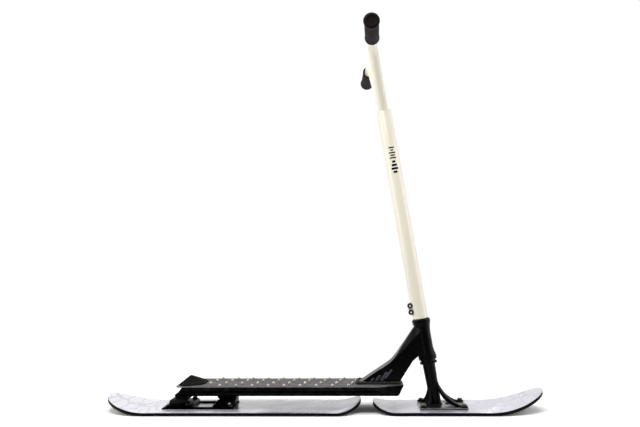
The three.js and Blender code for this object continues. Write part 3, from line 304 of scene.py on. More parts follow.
def surface(name, colour, wear_and_highlight_colour, rough=0.4, smudge_rough=0.12, metal=0.0, specular=0.4, tint=1.0, coat=0.0,
            grains=900.0, bump=0.12, rub_reach=0.0012, rub_amount=0.5, tone_shift=0.12, scratch=0.0):
    """A procedural finish. Colours are linear; sizes are in metres or per metre."""
    material, tree = new_material(name)
    grain_node = put(tree, "ShaderNodeGroup", {"Grains per metre": grains}, node_tree=grain)
    rub_node = put(tree, "ShaderNodeGroup", {"Reach": rub_reach}, node_tree=rub)
    marks_node = put(tree, "ShaderNodeGroup", node_tree=marks)
    darker = tuple(c * (1 - tone_shift) for c in colour)
    lighter = tuple(min(1.0, c * (1 + tone_shift)) for c in colour)
    body = ramp(tree, marks_node["Smudge"], [(0.0, darker), (1.0, lighter)])
    tone = mixed(tree, calc(tree, "MULTIPLY", rub_node["Mask"], rub_amount, use_clamp=True), body, wear_and_highlight_colour)
    if scratch:
        tone = mixed(tree, calc(tree, "MULTIPLY", marks_node["Scratch"], scratch), tone, wear_and_highlight_colour)
    relief = put(tree, "ShaderNodeBump", {"Strength": bump, "Distance": GRAIN_DEPTH, "Height": grain_node["Height"],
                                          "Normal": rub_node["Soft Normal"]})
    shader = put(tree, "ShaderNodeBsdfPrincipled", {
        "Base Color": tone, "Metallic": metal, "Specular IOR Level": specular, "Specular Tint": (tint, tint, tint, 1),
        "Coat Weight": coat, "Coat Roughness": COAT_ROUGH, "Normal": relief["Normal"],
        "Roughness": spread(tree, marks_node["Smudge"], 0.0, 1.0, rough, min(1.0, rough + smudge_rough)),
    })
    put(tree, "ShaderNodeOutputMaterial", {"Surface": shader["BSDF"]})
    finishes[name] = material

# %% Mix the plain finishes
surface("black_coat", (0.0018, 0.0018, 0.0019), (0.03, 0.028, 0.026), rough=0.3, specular=0.2, tint=0.4, bump=0.08)
# Its lighter rubbed edges and scratches are partly wear and partly a painted highlight along the deck rail's edges.
surface("black_alloy", (0.0004, 0.0004, 0.0005), (0.012, 0.012, 0.012), rough=0.3, specular=0.03, bump=0.06,
        scratch=0.05)
surface("black_steel", (0.003, 0.003, 0.003), (0.05, 0.05, 0.05), rough=0.28, specular=0.22, bump=0.05)
surface("bright_steel", (0.74, 0.72, 0.67), (0.88, 0.87, 0.84), rough=0.26, metal=1.0, grains=1500.0, bump=0.08,
        tone_shift=0.08)
surface("stud_steel", (0.66, 0.58, 0.50), (0.8, 0.74, 0.68), rough=0.4, metal=1.0, grains=1500.0, bump=0.08,
        rub_amount=0.2, tone_shift=0.2)
surface("oiled_steel", (0.14, 0.13, 0.11), (0.6, 0.57, 0.5), rough=0.25, metal=1.0, grains=1200.0, bump=0.08,
        tone_shift=0.3)
surface("bare_steel", (0.17, 0.162, 0.135), (0.62, 0.60, 0.54), rough=0.26, metal=1.0, grains=700.0, bump=0.14,
        tone_shift=0.35, scratch=0.3)
surface("ivory_paint", (0.84, 0.79, 0.655), (0.88, 0.87, 0.82), rough=0.3, smudge_rough=0.05, specular=0.45, coat=0.6,
        grains=380.0, bump=0.025, rub_amount=0.15, tone_shift=0.012)
surface("black_rubber", (0.0055, 0.0055, 0.0047), (0.02, 0.02, 0.018), rough=0.65, specular=0.04, grains=1400.0,
        bump=0.3)
surface("grip_rubber", (0.009, 0.006, 0.0055), (0.03, 0.025, 0.022), rough=0.5, specular=0.1, grains=1600.0, bump=0.2)
surface("grey_cast", (0.012, 0.0135, 0.0112), (0.1, 0.11, 0.09), rough=0.5, specular=0.1, grains=650.0, bump=0.5)
surface("sidewall_black", (0.0022, 0.002, 0.002), (0.02, 0.02, 0.02), rough=0.42, specular=0.05, grains=500.0)
surface("ground_edge", (0.02, 0.019, 0.017), (0.2, 0.19, 0.17), rough=0.3, metal=1.0, bump=0.2, scratch=0.2)
surface("base_plastic", (0.012, 0.012, 0.014), (0.05, 0.05, 0.05), rough=0.45, specular=0.35, grains=300.0, bump=0.1,
        scratch=0.25)
surface("grip_coat", (0.055, 0.05, 0.057), (0.3, 0.29, 0.28), rough=0.5, smudge_rough=0.15, specular=0.5,
        grains=1100.0, bump=0.5, rub_amount=0.8, tone_shift=0.2, scratch=0.3)
surface("emblem_grey", (0.11, 0.115, 0.15), (0.3, 0.3, 0.32), bump=0.04, tone_shift=0.5)
surface("weld_coat", (0.009, 0.0075, 0.006), (0.04, 0.034, 0.027), rough=0.38, specular=0.2, grains=1500.0,
        bump=0.3, rub_reach=0.0008, rub_amount=0.7, tone_shift=0.3)
print("finishes:", list(finishes))

# %% [markdown]
# ## Making meshes
# Every piece is a mesh whose points are already in their place, with its object
# at the origin, as the CAD nodes are. These helpers make a piece from rings of
# points, from a turned profile, or from a softened copy of a CAD solid.

# %% Turn points and faces into a piece
made_pieces = []
NAMED_FINISH = {"sidewall": "sidewall_black", "topsheet": "frost_print", "edge_steel": "ground_edge"}

def finish_of(slot):
    return finishes[NAMED_FINISH.get(slot, slot)]

def shaped(name, mesh, material, crease):
    """An object with smooth faces and sharp creases. A mesh that has its material gets none."""
    made = bpy.data.objects.new(name, mesh)
    scene.collection.objects.link(made)
    if material:
        mesh.materials.clear()
        mesh.materials.append(material)
    mesh.shade_smooth()
    mesh.set_sharp_from_angle(angle=math.radians(crease))
    return made

def piece(name, mesh, body, slot, stands_for=(), crease=30, finish=None, painted=False):
    """Finishes a mesh as a piece that rides on a body and stands for CAD nodes."""
    material = None if painted else finishes[finish] if finish else finish_of(slot)
    made = shaped(name, mesh, material, crease)
    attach(made, body)
    if stands_for:
        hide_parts(*stands_for)
    made_pieces.append(name)

@contextmanager
def edited(mesh):
    """Opens a mesh for editing, and writes it back at the end."""
    bm = bmesh.new()
    bm.from_mesh(mesh)
    yield bm
    bm.to_mesh(mesh)
    bm.free()

def mesh_from(name, points, faces, merge=1e-6):
    """A mesh with its doubles merged and its faces turned outwards."""
    mesh = bpy.data.meshes.new(name)
    mesh.from_pydata(points, [], faces)
    with edited(mesh) as bm:
        bmesh.ops.remove_doubles(bm, verts=bm.verts, dist=merge)
        bmesh.ops.recalc_face_normals(bm, faces=bm.faces)
    return mesh

def skin(rows, caps=False):
    """Points and quads over rings of equal length that follow each other."""
    count = len(rows[0])
    faces = [(r * count + k, r * count + (k + 1) % count, (r + 1) * count + (k + 1) % count, (r + 1) * count + k)
             for r in range(len(rows) - 1) for k in range(count)]
    if caps:
        faces += [tuple(range(count)), tuple((len(rows) - 1) * count + k for k in range(count))]
    return [p for row in rows for p in row], faces

def circle_point(radius, k, steps):
    return radius * math.cos(2 * math.pi * k / steps), radius * math.sin(2 * math.pi * k / steps)

def lathe(name, profile, steps=72, merge=1e-6):
    """A mesh turned round +Z from a profile of (radius, height) in millimetres."""
    rows = [[Vector((*circle_point(r, k, steps), z)) * MM for k in range(steps)] for r, z in profile]
    return mesh_from(name, *skin(rows), merge=merge)

def middle_of(low, high):
    return (low + high) / 2

# The steering axis, from the record: where it meets the snow, and its lean
steering = next(j for j in frame["joints"] if j["name"] == "steering")
axis_up = Vector(steering["axis"]).normalized()
axis_foot = Vector(steering["pos_m"])
rake = math.atan2(-axis_up.x, axis_up.z)
to_axis = Matrix.Translation(axis_foot) @ Matrix.Rotation(-rake, 4, "Y")
print("the head leans", round(math.degrees(rake), 2), "degrees")

def turned_piece(name, profile, body, slot, stands_for, place=None, steps=72, crease=35, finish=None):
    """A lathe-turned piece. The profile closes on itself or on the axis."""
    mesh = lathe(name, profile, steps)
    mesh.transform(to_axis if place is None else place)
    piece(name, mesh, body, slot, stands_for, crease, finish)

# %% Cut or join with an exact boolean
def carve(mesh, tool, operation):
    """The mesh after one exact boolean with a tool mesh."""
    host = bpy.data.objects.new("carved", mesh)
    cutter = bpy.data.objects.new("tool", tool)
    scene.collection.objects.link(host)
    scene.collection.objects.link(cutter)
    modifier = host.modifiers.new("carve", "BOOLEAN")
    modifier.object = cutter
    modifier.operation = operation
    modifier.solver = "EXACT"
    graph = bpy.context.evaluated_depsgraph_get()
    done = bpy.data.meshes.new_from_object(host.evaluated_get(graph), depsgraph=graph)
    bpy.data.objects.remove(host)
    bpy.data.objects.remove(cutter)
    return done

TOOL_MERGE = 0.02 * MM

def round_tool(name, radius, low, high, steps=96):
    """A plain cylinder along +Z for cutting, in millimetres."""
    return lathe(name, [(0.01, low), (radius, low), (radius, high), (0.01, high)], steps, TOOL_MERGE)

# %% Soften a copy of a CAD solid
SOLID_MERGE, FLAT_ANGLE, SHORT_EDGE = 2e-6, math.radians(1.5), 0.4 * MM

def bevel_sharp(bm, sharp, width, segments, profile=0.5, shortest=0.0):
    """Rounds every edge sharper than an angle in degrees, by a width in millimetres."""
    edges = [e for e in bm.edges if e.calc_face_angle(0) > math.radians(sharp) and e.calc_length() > shortest]
    bmesh.ops.bevel(bm, geom=edges, offset=width * MM, offset_type="OFFSET", segments=segments,
                    profile=profile, affect="EDGES", clamp_overlap=True)

def softened(name, node, width, body, slot, segments=2, sharp=28, added=()):
    """A CAD solid with its doubles merged, flats joined and edges rounded."""
    mesh = frame["nodes"][node].data.copy()
    if added:
        with edited(mesh) as bm:
            bmesh.ops.remove_doubles(bm, verts=bm.verts, dist=SOLID_MERGE)
        for extra in added:
            mesh = carve(mesh, extra, "UNION")
    with edited(mesh) as bm:
        bmesh.ops.remove_doubles(bm, verts=bm.verts, dist=SOLID_MERGE)
        bmesh.ops.dissolve_limit(bm, angle_limit=FLAT_ANGLE, verts=bm.verts, edges=bm.edges)
        bevel_sharp(bm, sharp, width, segments, shortest=SHORT_EDGE)
        bmesh.ops.triangulate(bm, faces=[f for f in bm.faces if len(f.verts) > 4])
    piece(name, mesh, body, slot, (node,), crease=35)

print("mesh helpers ready, pieces so far:", len(made_pieces))

# %% [markdown]
# ## The boards
# A snow board is a sandwich: a steel edge and a black base on the snow, a core
# with black sidewalls, and a printed top sheet. From above it has straight
# sides and round ends, and from the side both ends turn up. The outline is a
# superellipse at each end, and the height follows a circle's first part, so a
# short rule gives every point and both boards share it.

# %% The boards' rule
REAR = dict(tail=-495.25, length=581, half=86, camber=0.6, tail_length=104, tail_radius=205,
            nose_length=57.5, nose_radius=92, tail_round=95, nose_round=58)
FRONT = dict(tail=112.25, length=383, half=83, camber=0.4, tail_length=49, tail_radius=93,
             nose_length=130, nose_radius=216, tail_round=55, nose_round=124)
PLAN_POWER, CAMBER_POWER = 2.2, 4
ROUND_STEPS, STRAIGHT_STEPS = 40, 60

def base_height(board, along):
    """Height of a board's base in millimetres, at a distance from its tail."""
    flat_start = board["tail_length"]
    flat_end = board["length"] - board["nose_length"]
    if along < flat_start:
        return (flat_start - along) ** 2 / (2 * board["tail_radius"])
    if along > flat_end:
        return (along - flat_end) ** 2 / (2 * board["nose_radius"])
    share = (2 * along - flat_start - flat_end) / (flat_end - flat_start)
    return board["camber"] * (1 - abs(share) ** CAMBER_POWER)

def round_end(reach, half):
    """A quarter of a superellipse, as (distance from the board's end, y)."""
    angles = [i / ROUND_STEPS * math.pi / 2 for i in range(ROUND_STEPS + 1)]
    return [(reach * (1 - math.cos(a) ** (2 / PLAN_POWER)), -half * math.sin(a) ** (2 / PLAN_POWER)) for a in angles]

def straight_run(board):
    return board["tail_round"], board["length"] - board["nose_round"]

def rim_points(board, inset):
    """A board's outline from above, as (distance from its tail, y), drawn in by an inset."""
    half = board["half"] - inset
    first, last = straight_run(board)
    right = [(inset + x, y) for x, y in round_end(board["tail_round"] - inset, half)]
    right += [(first + (last - first) * i / STRAIGHT_STEPS, -half) for i in range(1, STRAIGHT_STEPS)]
    right += [(board["length"] - inset - x, y) for x, y in reversed(round_end(board["nose_round"] - inset, half))]
    return right + [(x, -y) for x, y in reversed(right[1:-1])]

def board_point(board, along, y, lift):
    step = board["length"] / 1000
    slope = (base_height(board, along + step) - base_height(board, along - step)) / (2 * step)
    rise = lift * math.hypot(1, slope)
    return Vector((board["tail"] + along, y, base_height(board, along) + rise)) * MM

print("points round each board:", len(rim_points(REAR, 0)))

# %% A board's layer as a closed shell or strip
INWARD_SHARES = [0.1, 0.25, 0.42, 0.6, 0.78, 0.92, 1.0]

def drawn_in(board, outline, share):
    """An outline pulled by a share towards the middle line of the board's straight part."""
    first, last = straight_run(board)
    return [(x + (min(max(x, first), last) - x) * share, y * (1 - share)) for x, y in outline]

def board_mesh(board, name, layers):
    """A mesh through layers of (outline, lift)."""
    return mesh_from(name, *skin([[board_point(board, x, y, lift) for x, y in outline] for outline, lift in layers]))

def board_shell(board, name, profile):
    """A shell whose rim follows a profile of (inset, lift) from its underside to its top."""
    rims = [(rim_points(board, inset), lift) for inset, lift in profile]
    (low_rim, low), (top_rim, top) = rims[0], rims[-1]
    under = [(drawn_in(board, low_rim, share), low) for share in reversed(INWARD_SHARES)]
    over = [(drawn_in(board, top_rim, share), top) for share in INWARD_SHARES]
    return board_mesh(board, name, under + rims + over)

def board_ring(board, name, profile):
    """A closed strip round a board, with a profile of (inset, lift) that meets itself."""
    return board_mesh(board, name, [(rim_points(board, inset), lift) for inset, lift in profile + profile[:1]])

print("rings across a board's face:", len(INWARD_SHARES))

# %% [markdown]
# The top sheet's print is a generic frost: pale violet grey, with a web of
# thin darker lines at the turned-up ends and long faint streaks in the middle.
# Cells from a Voronoi texture, bent by noise, give the web, and noise that is
# stretched along the board gives the streaks. All of it sits under a clear
# gloss coat. The edge is ground steel, and the base is black plastic.

# %% The frost print's web
finishes["frost_print"], tree = new_material("frost_print")
spot = put(tree, "ShaderNodeTexCoord")["Object"]
bend = put(tree, "ShaderNodeTexNoise", {"Vector": spot, "Scale": 11.0, "Detail": 2.0, "Roughness": 0.5})["Color"]
push = put(tree, "ShaderNodeVectorMath", {0: bend, "Scale": 0.045}, operation="SCALE")["Vector"]
bent = put(tree, "ShaderNodeVectorMath", {0: spot, 1: push}, operation="ADD")["Vector"]
squeeze = {"Rotation": (0, 0, 0.35), "Scale": (1.0, 0.36, 1.0)}
squeezed = put(tree, "ShaderNodeMapping", {"Vector": bent, **squeeze})["Vector"]

def cell_lines(scale, stops):
    """Lines along the edges of a Voronoi texture's cells."""
    cells = put(tree, "ShaderNodeTexVoronoi", {"Vector": squeezed, "Scale": scale}, feature="DISTANCE_TO_EDGE")
    return ramp(tree, cells["Distance"], stops)

wide_web = cell_lines(36.0, [(0.0, 1.0), (0.04, 0.8), (0.085, 0.0)])
small_web = cell_lines(58.0, [(0.0, 0.35), (0.05, 0.0)])
both_webs = calc(tree, "MAXIMUM", wide_web, small_web)
print("the web has", len(tree.nodes), "nodes")

# %% Where the frost shows, and the streaks between
FROST_SHARE, LINE_SHARE, PEARL_SHARE = 0.92, 0.85, 0.25
shift = spread(tree, put(tree, "ShaderNodeSeparateXYZ", {"Vector": spot})["X"], -0.6, 0.6)
where_frost = ramp(tree, shift, [
    (0.08, 1.0), (0.36, 0.9), (0.41, 0.0), (0.56, 0.0), (0.6, 0.35), (0.7, 0.1), (0.77, 0.15), (0.83, 0.5),
    (0.92, 0.55),
])
where_web = ramp(tree, shift, [
    (0.08, 1.0), (0.22, 0.9), (0.3, 0.15), (0.4, 0.0), (0.56, 0.0), (0.6, 0.12), (0.74, 0.05), (0.8, 0.7), (0.86, 1.0),
    (0.92, 1.0),
])
streak_map = put(tree, "ShaderNodeMapping", {"Vector": spot, "Rotation": (0, 0, -0.5), "Scale": (1.0, 7.0, 1.0)},
                 vector_type="TEXTURE")["Vector"]
streaks = put(tree, "ShaderNodeTexNoise",
              {"Vector": streak_map, "Scale": 24.0, "Detail": 2.5, "Roughness": 0.5, "Distortion": 0.15})["Fac"]
streak_tone = ramp(tree, streaks, [
    (0.4, (0.30, 0.285, 0.40)), (0.52, (0.36, 0.345, 0.46)), (0.6, (0.56, 0.55, 0.65)), (0.68, (0.88, 0.87, 0.92)),
])
pale_end = mixed(tree, calc(tree, "MULTIPLY", where_frost, FROST_SHARE), streak_tone, (0.82, 0.81, 0.85))
lines_shown = calc(tree, "MULTIPLY", both_webs, where_web)
printed = mixed(tree, calc(tree, "MULTIPLY", lines_shown, LINE_SHARE), pale_end, (0.42, 0.41, 0.55))
pearl = mixed(tree, PEARL_SHARE, (0.86, 0.83, 1.0), printed)
sheet_marks = put(tree, "ShaderNodeGroup", {"Smudges per metre": 9.0, "Scratches per metre": 420.0}, node_tree=marks)
relief = put(tree, "ShaderNodeBump", {"Strength": 0.05, "Distance": 0.0002, "Height": sheet_marks["Scratch"]})
shader = put(tree, "ShaderNodeBsdfPrincipled", {
    "Base Color": printed, "Specular Tint": pearl, "Specular IOR Level": 1.0, "Coat Weight": 0.75,
    "Coat Roughness": 0.22, "Normal": relief["Normal"],
    "Roughness": spread(tree, sheet_marks["Smudge"], 0.0, 1.0, 0.2, 0.34),
})
put(tree, "ShaderNodeOutputMaterial", {"Surface": shader["BSDF"]})
print("print:", finishes["frost_print"].name, "with", len(tree.nodes), "nodes")

# %% Sheet, sidewalls, base and rail
STACK, CORE_TOP, FACES_DOWN = 7.8, 7.3, -0.3
SHEET_RIM = [(0.9, CORE_TOP - 0.4), (0.35, CORE_TOP - 0.2), (0.3, CORE_TOP + 0.2), (0.55, STACK - 0.1), (1.1, STACK)]
SIDE_RIM = [(2.3, 0.05), (2.1, 1.9), (0.25, 2.0), (0.05, 2.2), (0.02, CORE_TOP - 0.7), (0.3, CORE_TOP - 0.2),
            (1.0, CORE_TOP - 0.1)]
RAIL_RIM = [(2.2, 0.0), (0.25, 0.0), (0.0, 0.25), (0.0, 1.7), (0.2, 1.9), (2.2, 1.9)]

def repaint(mesh, finish, chosen):
    """Gives a further finish to the faces that a test picks, or a painted highlight in a screw's key hole."""
    mesh.materials.append(finishes[finish])
    for face in mesh.polygons:
        if chosen(face):
            face.material_index = len(mesh.materials) - 1

for label, board, body in (("rear_board", REAR, "rear_ski"), ("front_board", FRONT, "steering")):
    sheet = board_shell(board, f"{label}_print", SHEET_RIM)
    piece(f"{label}_print", sheet, body, "topsheet", (f"{label}_topsheet",))
    side = board_shell(board, f"{label}_sidewall", SIDE_RIM)
    piece(f"{label}_sidewall", side, body, "sidewall", (f"{label}_core",))
    repaint(side, "base_plastic", lambda face: face.normal.z < FACES_DOWN)
    rail = board_ring(board, f"{label}_rail", RAIL_RIM)
    piece(f"{label}_rail", rail, body, "edge_steel", (f"{label}_edge",))
print("boards:", [n for n in made_pieces if "board" in n])

# %% [markdown]
# ## What repeats: geometry nodes
# Studs, weld beads and cap screws repeat, so each is made by a small Geometry
# Nodes tree with named sizes. One helper sets a tree's inputs by their
# identifiers, takes the evaluated result as a plain mesh and drops the
# modifier, because the exported model keeps no instances.

# %% Start, end and run a geometry tree
def growing_tree(name, inputs):
    """An empty geometry tree. Its first input is what it grows on."""
    return new_tree(name, "GeometryNodeTree", [("Geometry", "Geometry", None), *inputs], [("Geometry", "Geometry")])

def end_tree(tree, geometry, material):
    """Makes instances real, gives them their material and closes the tree."""
    solid = put(tree, "GeometryNodeRealizeInstances", {"Geometry": geometry})["Geometry"]
    done = put(tree, "GeometryNodeSetMaterial", {"Geometry": solid, "Material": material})["Geometry"]
    put(tree, "NodeGroupOutput", {"Geometry": done})
    print("geometry tree:", tree.name)

def grown(name, tree, source_mesh, **values):
    """The mesh that a tree grows from a source mesh."""
    host = bpy.data.objects.new(name, source_mesh)
    scene.collection.objects.link(host)
    modifier = host.modifiers.new("grow", "NODES")
    modifier.node_group = tree
    sockets = {i.name: i.identifier for i in tree.interface.items_tree
               if i.item_type == "SOCKET" and i.in_out == "INPUT"}
    for label, value in values.items():
        modifier[sockets[label]] = value
    host.update_tag()
    graph = bpy.context.evaluated_depsgraph_get()
    mesh = bpy.data.meshes.new_from_object(host.evaluated_get(graph), depsgraph=graph)
    host.modifiers.remove(modifier)
    bpy.data.objects.remove(host)
    mesh.name = name
    return mesh

def points_mesh(name, places, chain=False):
    """A mesh of loose points, or a chain of them, in metres."""
    mesh = bpy.data.meshes.new(name)
    edges = [(i, i + 1) for i in range(len(places) - 1)] if chain else []
    mesh.from_pydata([tuple(p) for p in places], edges, [])
    return mesh

# %% The tree for a row of studs
studs, start = growing_tree("stud_row", [
    ("Base Radius", "Float", 0.0036), ("Tip Radius", "Float", 0.0011), ("Height", "Float", 0.0053),
    ("Skirt", "Float", 0.0008), ("Metal", "Material", None),
])
DOME_SHARE, PIN_SHARE = 0.88, 0.4
dome_radius = calc(studs, "MULTIPLY", start["Base Radius"], DOME_SHARE)
pin_radius = calc(studs, "MULTIPLY", start["Base Radius"], PIN_SHARE)
ball = put(studs, "GeometryNodeMeshUVSphere", {"Segments": 16, "Rings": 10, "Radius": dome_radius})["Mesh"]
dome = put(studs, "GeometryNodeTransform", {"Geometry": ball, "Translation": (0, 0, 0.0012), "Scale": (1, 1, 1.15)})
pin_sizes = {"Radius Bottom": pin_radius, "Radius Top": start["Tip Radius"], "Depth": start["Height"]}
pin = put(studs, "GeometryNodeMeshCone", {"Vertices": 14, "Side Segments": 2, **pin_sizes}, fill_type="NGON")
skirt = put(studs, "GeometryNodeMeshCylinder", {"Vertices": 14, "Radius": dome_radius, "Depth": start["Skirt"]},
            fill_type="NGON")
stud = put(studs, "GeometryNodeJoinGeometry", {"Geometry": [pin["Mesh"], dome["Geometry"], skirt["Mesh"]]})["Geometry"]
spin = put(studs, "FunctionNodeRandomValue", {"Min": (0, 0, 0), "Max": (0.05, 0.05, 6.2), "Seed": 7},
           data_type="FLOAT_VECTOR")["Value"]
planted = put(studs, "GeometryNodeInstanceOnPoints", {"Points": start["Geometry"], "Instance": stud, "Rotation": spin})
end_tree(studs, planted["Instances"], start["Metal"])

# %% The tree for a weld bead
bead, start = growing_tree("weld_bead", [
    ("Pitch", "Float", 0.0021), ("Radius", "Float", 0.0026), ("Flatness", "Float", 0.7),
    ("Unevenness", "Float", 0.18), ("Seed", "Int", 3), ("Metal", "Material", None),
])
seam = put(bead, "GeometryNodeMeshToCurve", {"Mesh": start["Geometry"]})["Curve"]
stops = put(bead, "GeometryNodeResampleCurve", {"Curve": seam, "Length": start["Pitch"]}, mode="LENGTH")["Curve"]
puddle = put(bead, "GeometryNodeMeshUVSphere", {"Segments": 10, "Rings": 6, "Radius": start["Radius"]})["Mesh"]
tangent = put(bead, "GeometryNodeInputTangent")["Tangent"]
heading = put(bead, "FunctionNodeAlignEulerToVector", {"Vector": tangent}, axis="X")["Rotation"]
smallest = calc(bead, "SUBTRACT", 1.0, start["Unevenness"])
largest = calc(bead, "ADD", 1.0, start["Unevenness"])
wobble = put(bead, "FunctionNodeRandomValue", {2: smallest, 3: largest, "Seed": start["Seed"]}, data_type="FLOAT")[1]
squash = put(bead, "ShaderNodeCombineXYZ", {"X": 0.8, "Y": 1.0, "Z": start["Flatness"]})["Vector"]
sized = put(bead, "ShaderNodeVectorMath", {0: squash, "Scale": wobble}, operation="SCALE")["Vector"]
laid = put(bead, "GeometryNodeInstanceOnPoints",
           {"Points": stops, "Instance": puddle, "Rotation": heading, "Scale": sized})["Instances"]
end_tree(bead, laid, start["Metal"])

# %% The tree for fasteners
fasteners, start = growing_tree("fasteners", [
    ("Pattern", "Object", None), ("Turn", "Vector", (0, 0, 0)), ("Size", "Float", 1.0), ("Seed", "Int", 5),
    ("Metal", "Material", None),
])
sample = put(fasteners, "GeometryNodeObjectInfo", {"Object": start["Pattern"]})["Geometry"]
driven = put(fasteners, "GeometryNodeInstanceOnPoints", {
    "Points": start["Geometry"], "Instance": sample, "Rotation": start["Turn"], "Scale": start["Size"],
})["Instances"]
key_turn = put(fasteners, "FunctionNodeRandomValue", {"Min": (0, 0, 0), "Max": (0, 0, 1.0), "Seed": start["Seed"]},
               data_type="FLOAT_VECTOR")["Value"]
turned = put(fasteners, "GeometryNodeRotateInstances", {"Instances": driven, "Rotation": key_turn})["Instances"]
end_tree(fasteners, turned, start["Metal"])

# %% Screws and a nut as patterns
SIXTH = math.pi / 3
PATTERN_FOOT, PATTERN_MERGE = -0.3, 0.05 * MM

def pattern_ring(radius, z, sides, hexagon):
    """A ring of points, round or six-sided, in metres."""
    points = []
    for k in range(sides):
        angle = 2 * math.pi * k / sides
        reach = radius
        if hexagon:
            reach = radius * math.cos(SIXTH / 2) / math.cos((angle % SIXTH) - SIXTH / 2)
        points.append(Vector((reach * math.cos(angle), reach * math.sin(angle), z)) * MM)
    return points

def screw_pattern(name, head_radius, head_height, key_radius, key_depth, washer=None, nut=False, sides=28):
    """A fastener that stands on the XY plane: head, edge round, and a six-sided key hole."""
    wide, base = washer or (0, 0.0)
    top = base + head_height
    outside = [(0.01, PATTERN_FOOT)]
    if washer:
        outside += [(wide, PATTERN_FOOT), (wide, base - 0.2), (wide - 0.2, base)]
    outside += [(head_radius, base if washer else PATTERN_FOOT), (head_radius, top - 0.55),
                (head_radius - 0.2, top - 0.16), (head_radius - 0.6, top)]
    key = [(key_radius + 0.25, top), (key_radius, top - 0.25), (key_radius, top - key_depth),
           (0.01, top - key_depth - 0.3)]
    rows = [pattern_ring(*place, sides, nut) for place in outside]
    rows += [pattern_ring(*place, sides, True) for place in key]
    mesh = mesh_from(name, *skin(rows), merge=PATTERN_MERGE)
    mesh.shade_smooth()
    return bpy.data.objects.new(name, mesh)

fork_screw = screw_pattern("fork_screw_pattern", 5.6, 4.1, 2.7, 2.5)
truck_screw = screw_pattern("truck_screw_pattern", 5.2, 3.4, 2.6, 2.0, washer=(7.4, 1.5))
clamp_screw = screw_pattern("clamp_screw_pattern", 5.9, 4.1, 2.2, 0.7)
pivot_screw = screw_pattern("pivot_screw_pattern", 5.7, 4.9, 2.3, 2.2)
pivot_nut_shape = screw_pattern("pivot_nut_pattern", 6.0, 4.6, 3.9, 1.2, nut=True, sides=30)
hanger_screw = screw_pattern("hanger_screw_pattern", 5.6, 0.9, 2.7, 0.6)
patterns = (fork_screw, truck_screw, clamp_screw, pivot_screw, pivot_nut_shape, hanger_screw)
print("patterns:", [pattern.name for pattern in patterns])

# %% Drive fasteners at the places of CAD nodes
def driven_mesh(name, pattern, places, turn, metal, seed=5):
    """A fastener at each place, in metres, turned by three angles."""
    return grown(name, fasteners, points_mesh(name, places), Pattern=pattern, Turn=turn, Seed=seed,
                 Metal=finishes[metal])

def fasten(name, pattern, places, turn, body, metal, slot, stands_for, seed=5):
    mesh = driven_mesh(name, pattern, places, turn, metal, seed)
    piece(name, mesh, body, slot, stands_for, painted=True)

def fasten_tops(name, nodes, pattern, drop, body, metal, slot, seed=5):
    """Upright fasteners whose feet are a few millimetres below the tops of their nodes."""
    places = []
    for low, high in (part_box(node) for node in nodes):
        places.append(Vector((middle_of(low.x, high.x), middle_of(low.y, high.y), high.z)) - Vector((0, 0, drop * MM)))
    fasten(name, pattern, places, (0, 0, 0), body, metal, slot, nodes, seed)

print("fastener tree sockets:", len(fasteners.interface.items_tree))

# %% [markdown]
# ## The deck
# The real deck is a grooved alloy bar with a coated steel plate on it. The
# plate overhangs at the rear and carries four rows of pointed studs, which
# keep a boot from slipping. A rubber wedge sits on its tail. The bar and the
# plate are flat, so they are softened copies of their solids; the studs grow
# on points; the wedge is drawn from rings.

# %% Deck and plate
bar_low, bar_high = (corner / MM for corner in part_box("deck_body"))
NOSE_CUT, NOSE_SET_BACK, END_SLOPE, KEEL, INNER_FOOT = 56.0, 35.0, 15.2, 4.0, 6

def nose_filler(side):
    """Fills below the nose's oblique corner: its top is set back, its foot runs on to the end."""
    x, top, low, half = bar_high.x, bar_high.z, bar_low.z, bar_high.y
    keel_x = x - END_SLOPE * (top - low - KEEL) / (top - low)
    end_half = half - NOSE_SET_BACK * (NOSE_CUT - END_SLOPE) / NOSE_CUT
    corners = [(x - NOSE_CUT, half, top), (x, half - NOSE_SET_BACK, top), (x - NOSE_CUT, half, low + KEEL),
               (x - NOSE_CUT, half - KEEL, low), (keel_x, half, low + KEEL), (x - END_SLOPE, half - KEEL, low),
               (x - END_SLOPE, end_half, low), (x - NOSE_CUT, half - NOSE_SET_BACK, low),
               (x - NOSE_CUT, half - NOSE_SET_BACK, top), (x - END_SLOPE, end_half - INNER_FOOT, low)]
    filler = bpy.data.meshes.new("nose_filler")
    with edited(filler) as bm:
        for px, py, pz in corners:
            bm.verts.new(Vector((px, side * py, pz)) * MM)
        bmesh.ops.convex_hull(bm, input=bm.verts)
        bmesh.ops.delete(bm, geom=[v for v in bm.verts if not v.link_faces], context="VERTS")
        bmesh.ops.recalc_face_normals(bm, faces=bm.faces)
    return filler

softened("deck_rail", "deck_body", 0.5, "deck", "black_alloy", added=[nose_filler(1), nose_filler(-1)])
softened("deck_tread", "deck_plate", 0.25, "deck", "grip_coat", segments=1)
deck_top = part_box("deck_plate")[1].z
print("deck top at", round(deck_top / MM, 2), "mm")

# %% Studs
# For each row: its y in millimetres, its shift in pitches, and how many studs it has
STUD_ROWS = {1: (56.0, 0.0, 9), 2: (19.04, -0.23, 10), 3: (-19.04, -0.46, 10), 4: (-56.0, 0.29, 9)}
STUD_FOOT, STUD_LIFT = 3.6 * MM, 0.2 * MM
row_low, row_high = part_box("stud_row_1")
first_stud_x = row_low.x + STUD_FOOT
stud_pitch = (row_high.x - STUD_FOOT - first_stud_x) / (STUD_ROWS[1][2] - 1)
for row, (y, shift_share, count) in STUD_ROWS.items():
    places = [(first_stud_x + (i + shift_share) * stud_pitch, y * MM, deck_top + STUD_LIFT) for i in range(count)]
    name = f"stud_cones_{row}"
    mesh = grown(name, studs, points_mesh(name, places), Metal=finishes["stud_steel"])
    piece(name, mesh, "deck", "bright_steel", (f"stud_row_{row}",), crease=40, painted=True)
print("studs:", sum(row[2] for row in STUD_ROWS.values()), "at a pitch of", round(stud_pitch / MM, 1), "mm")

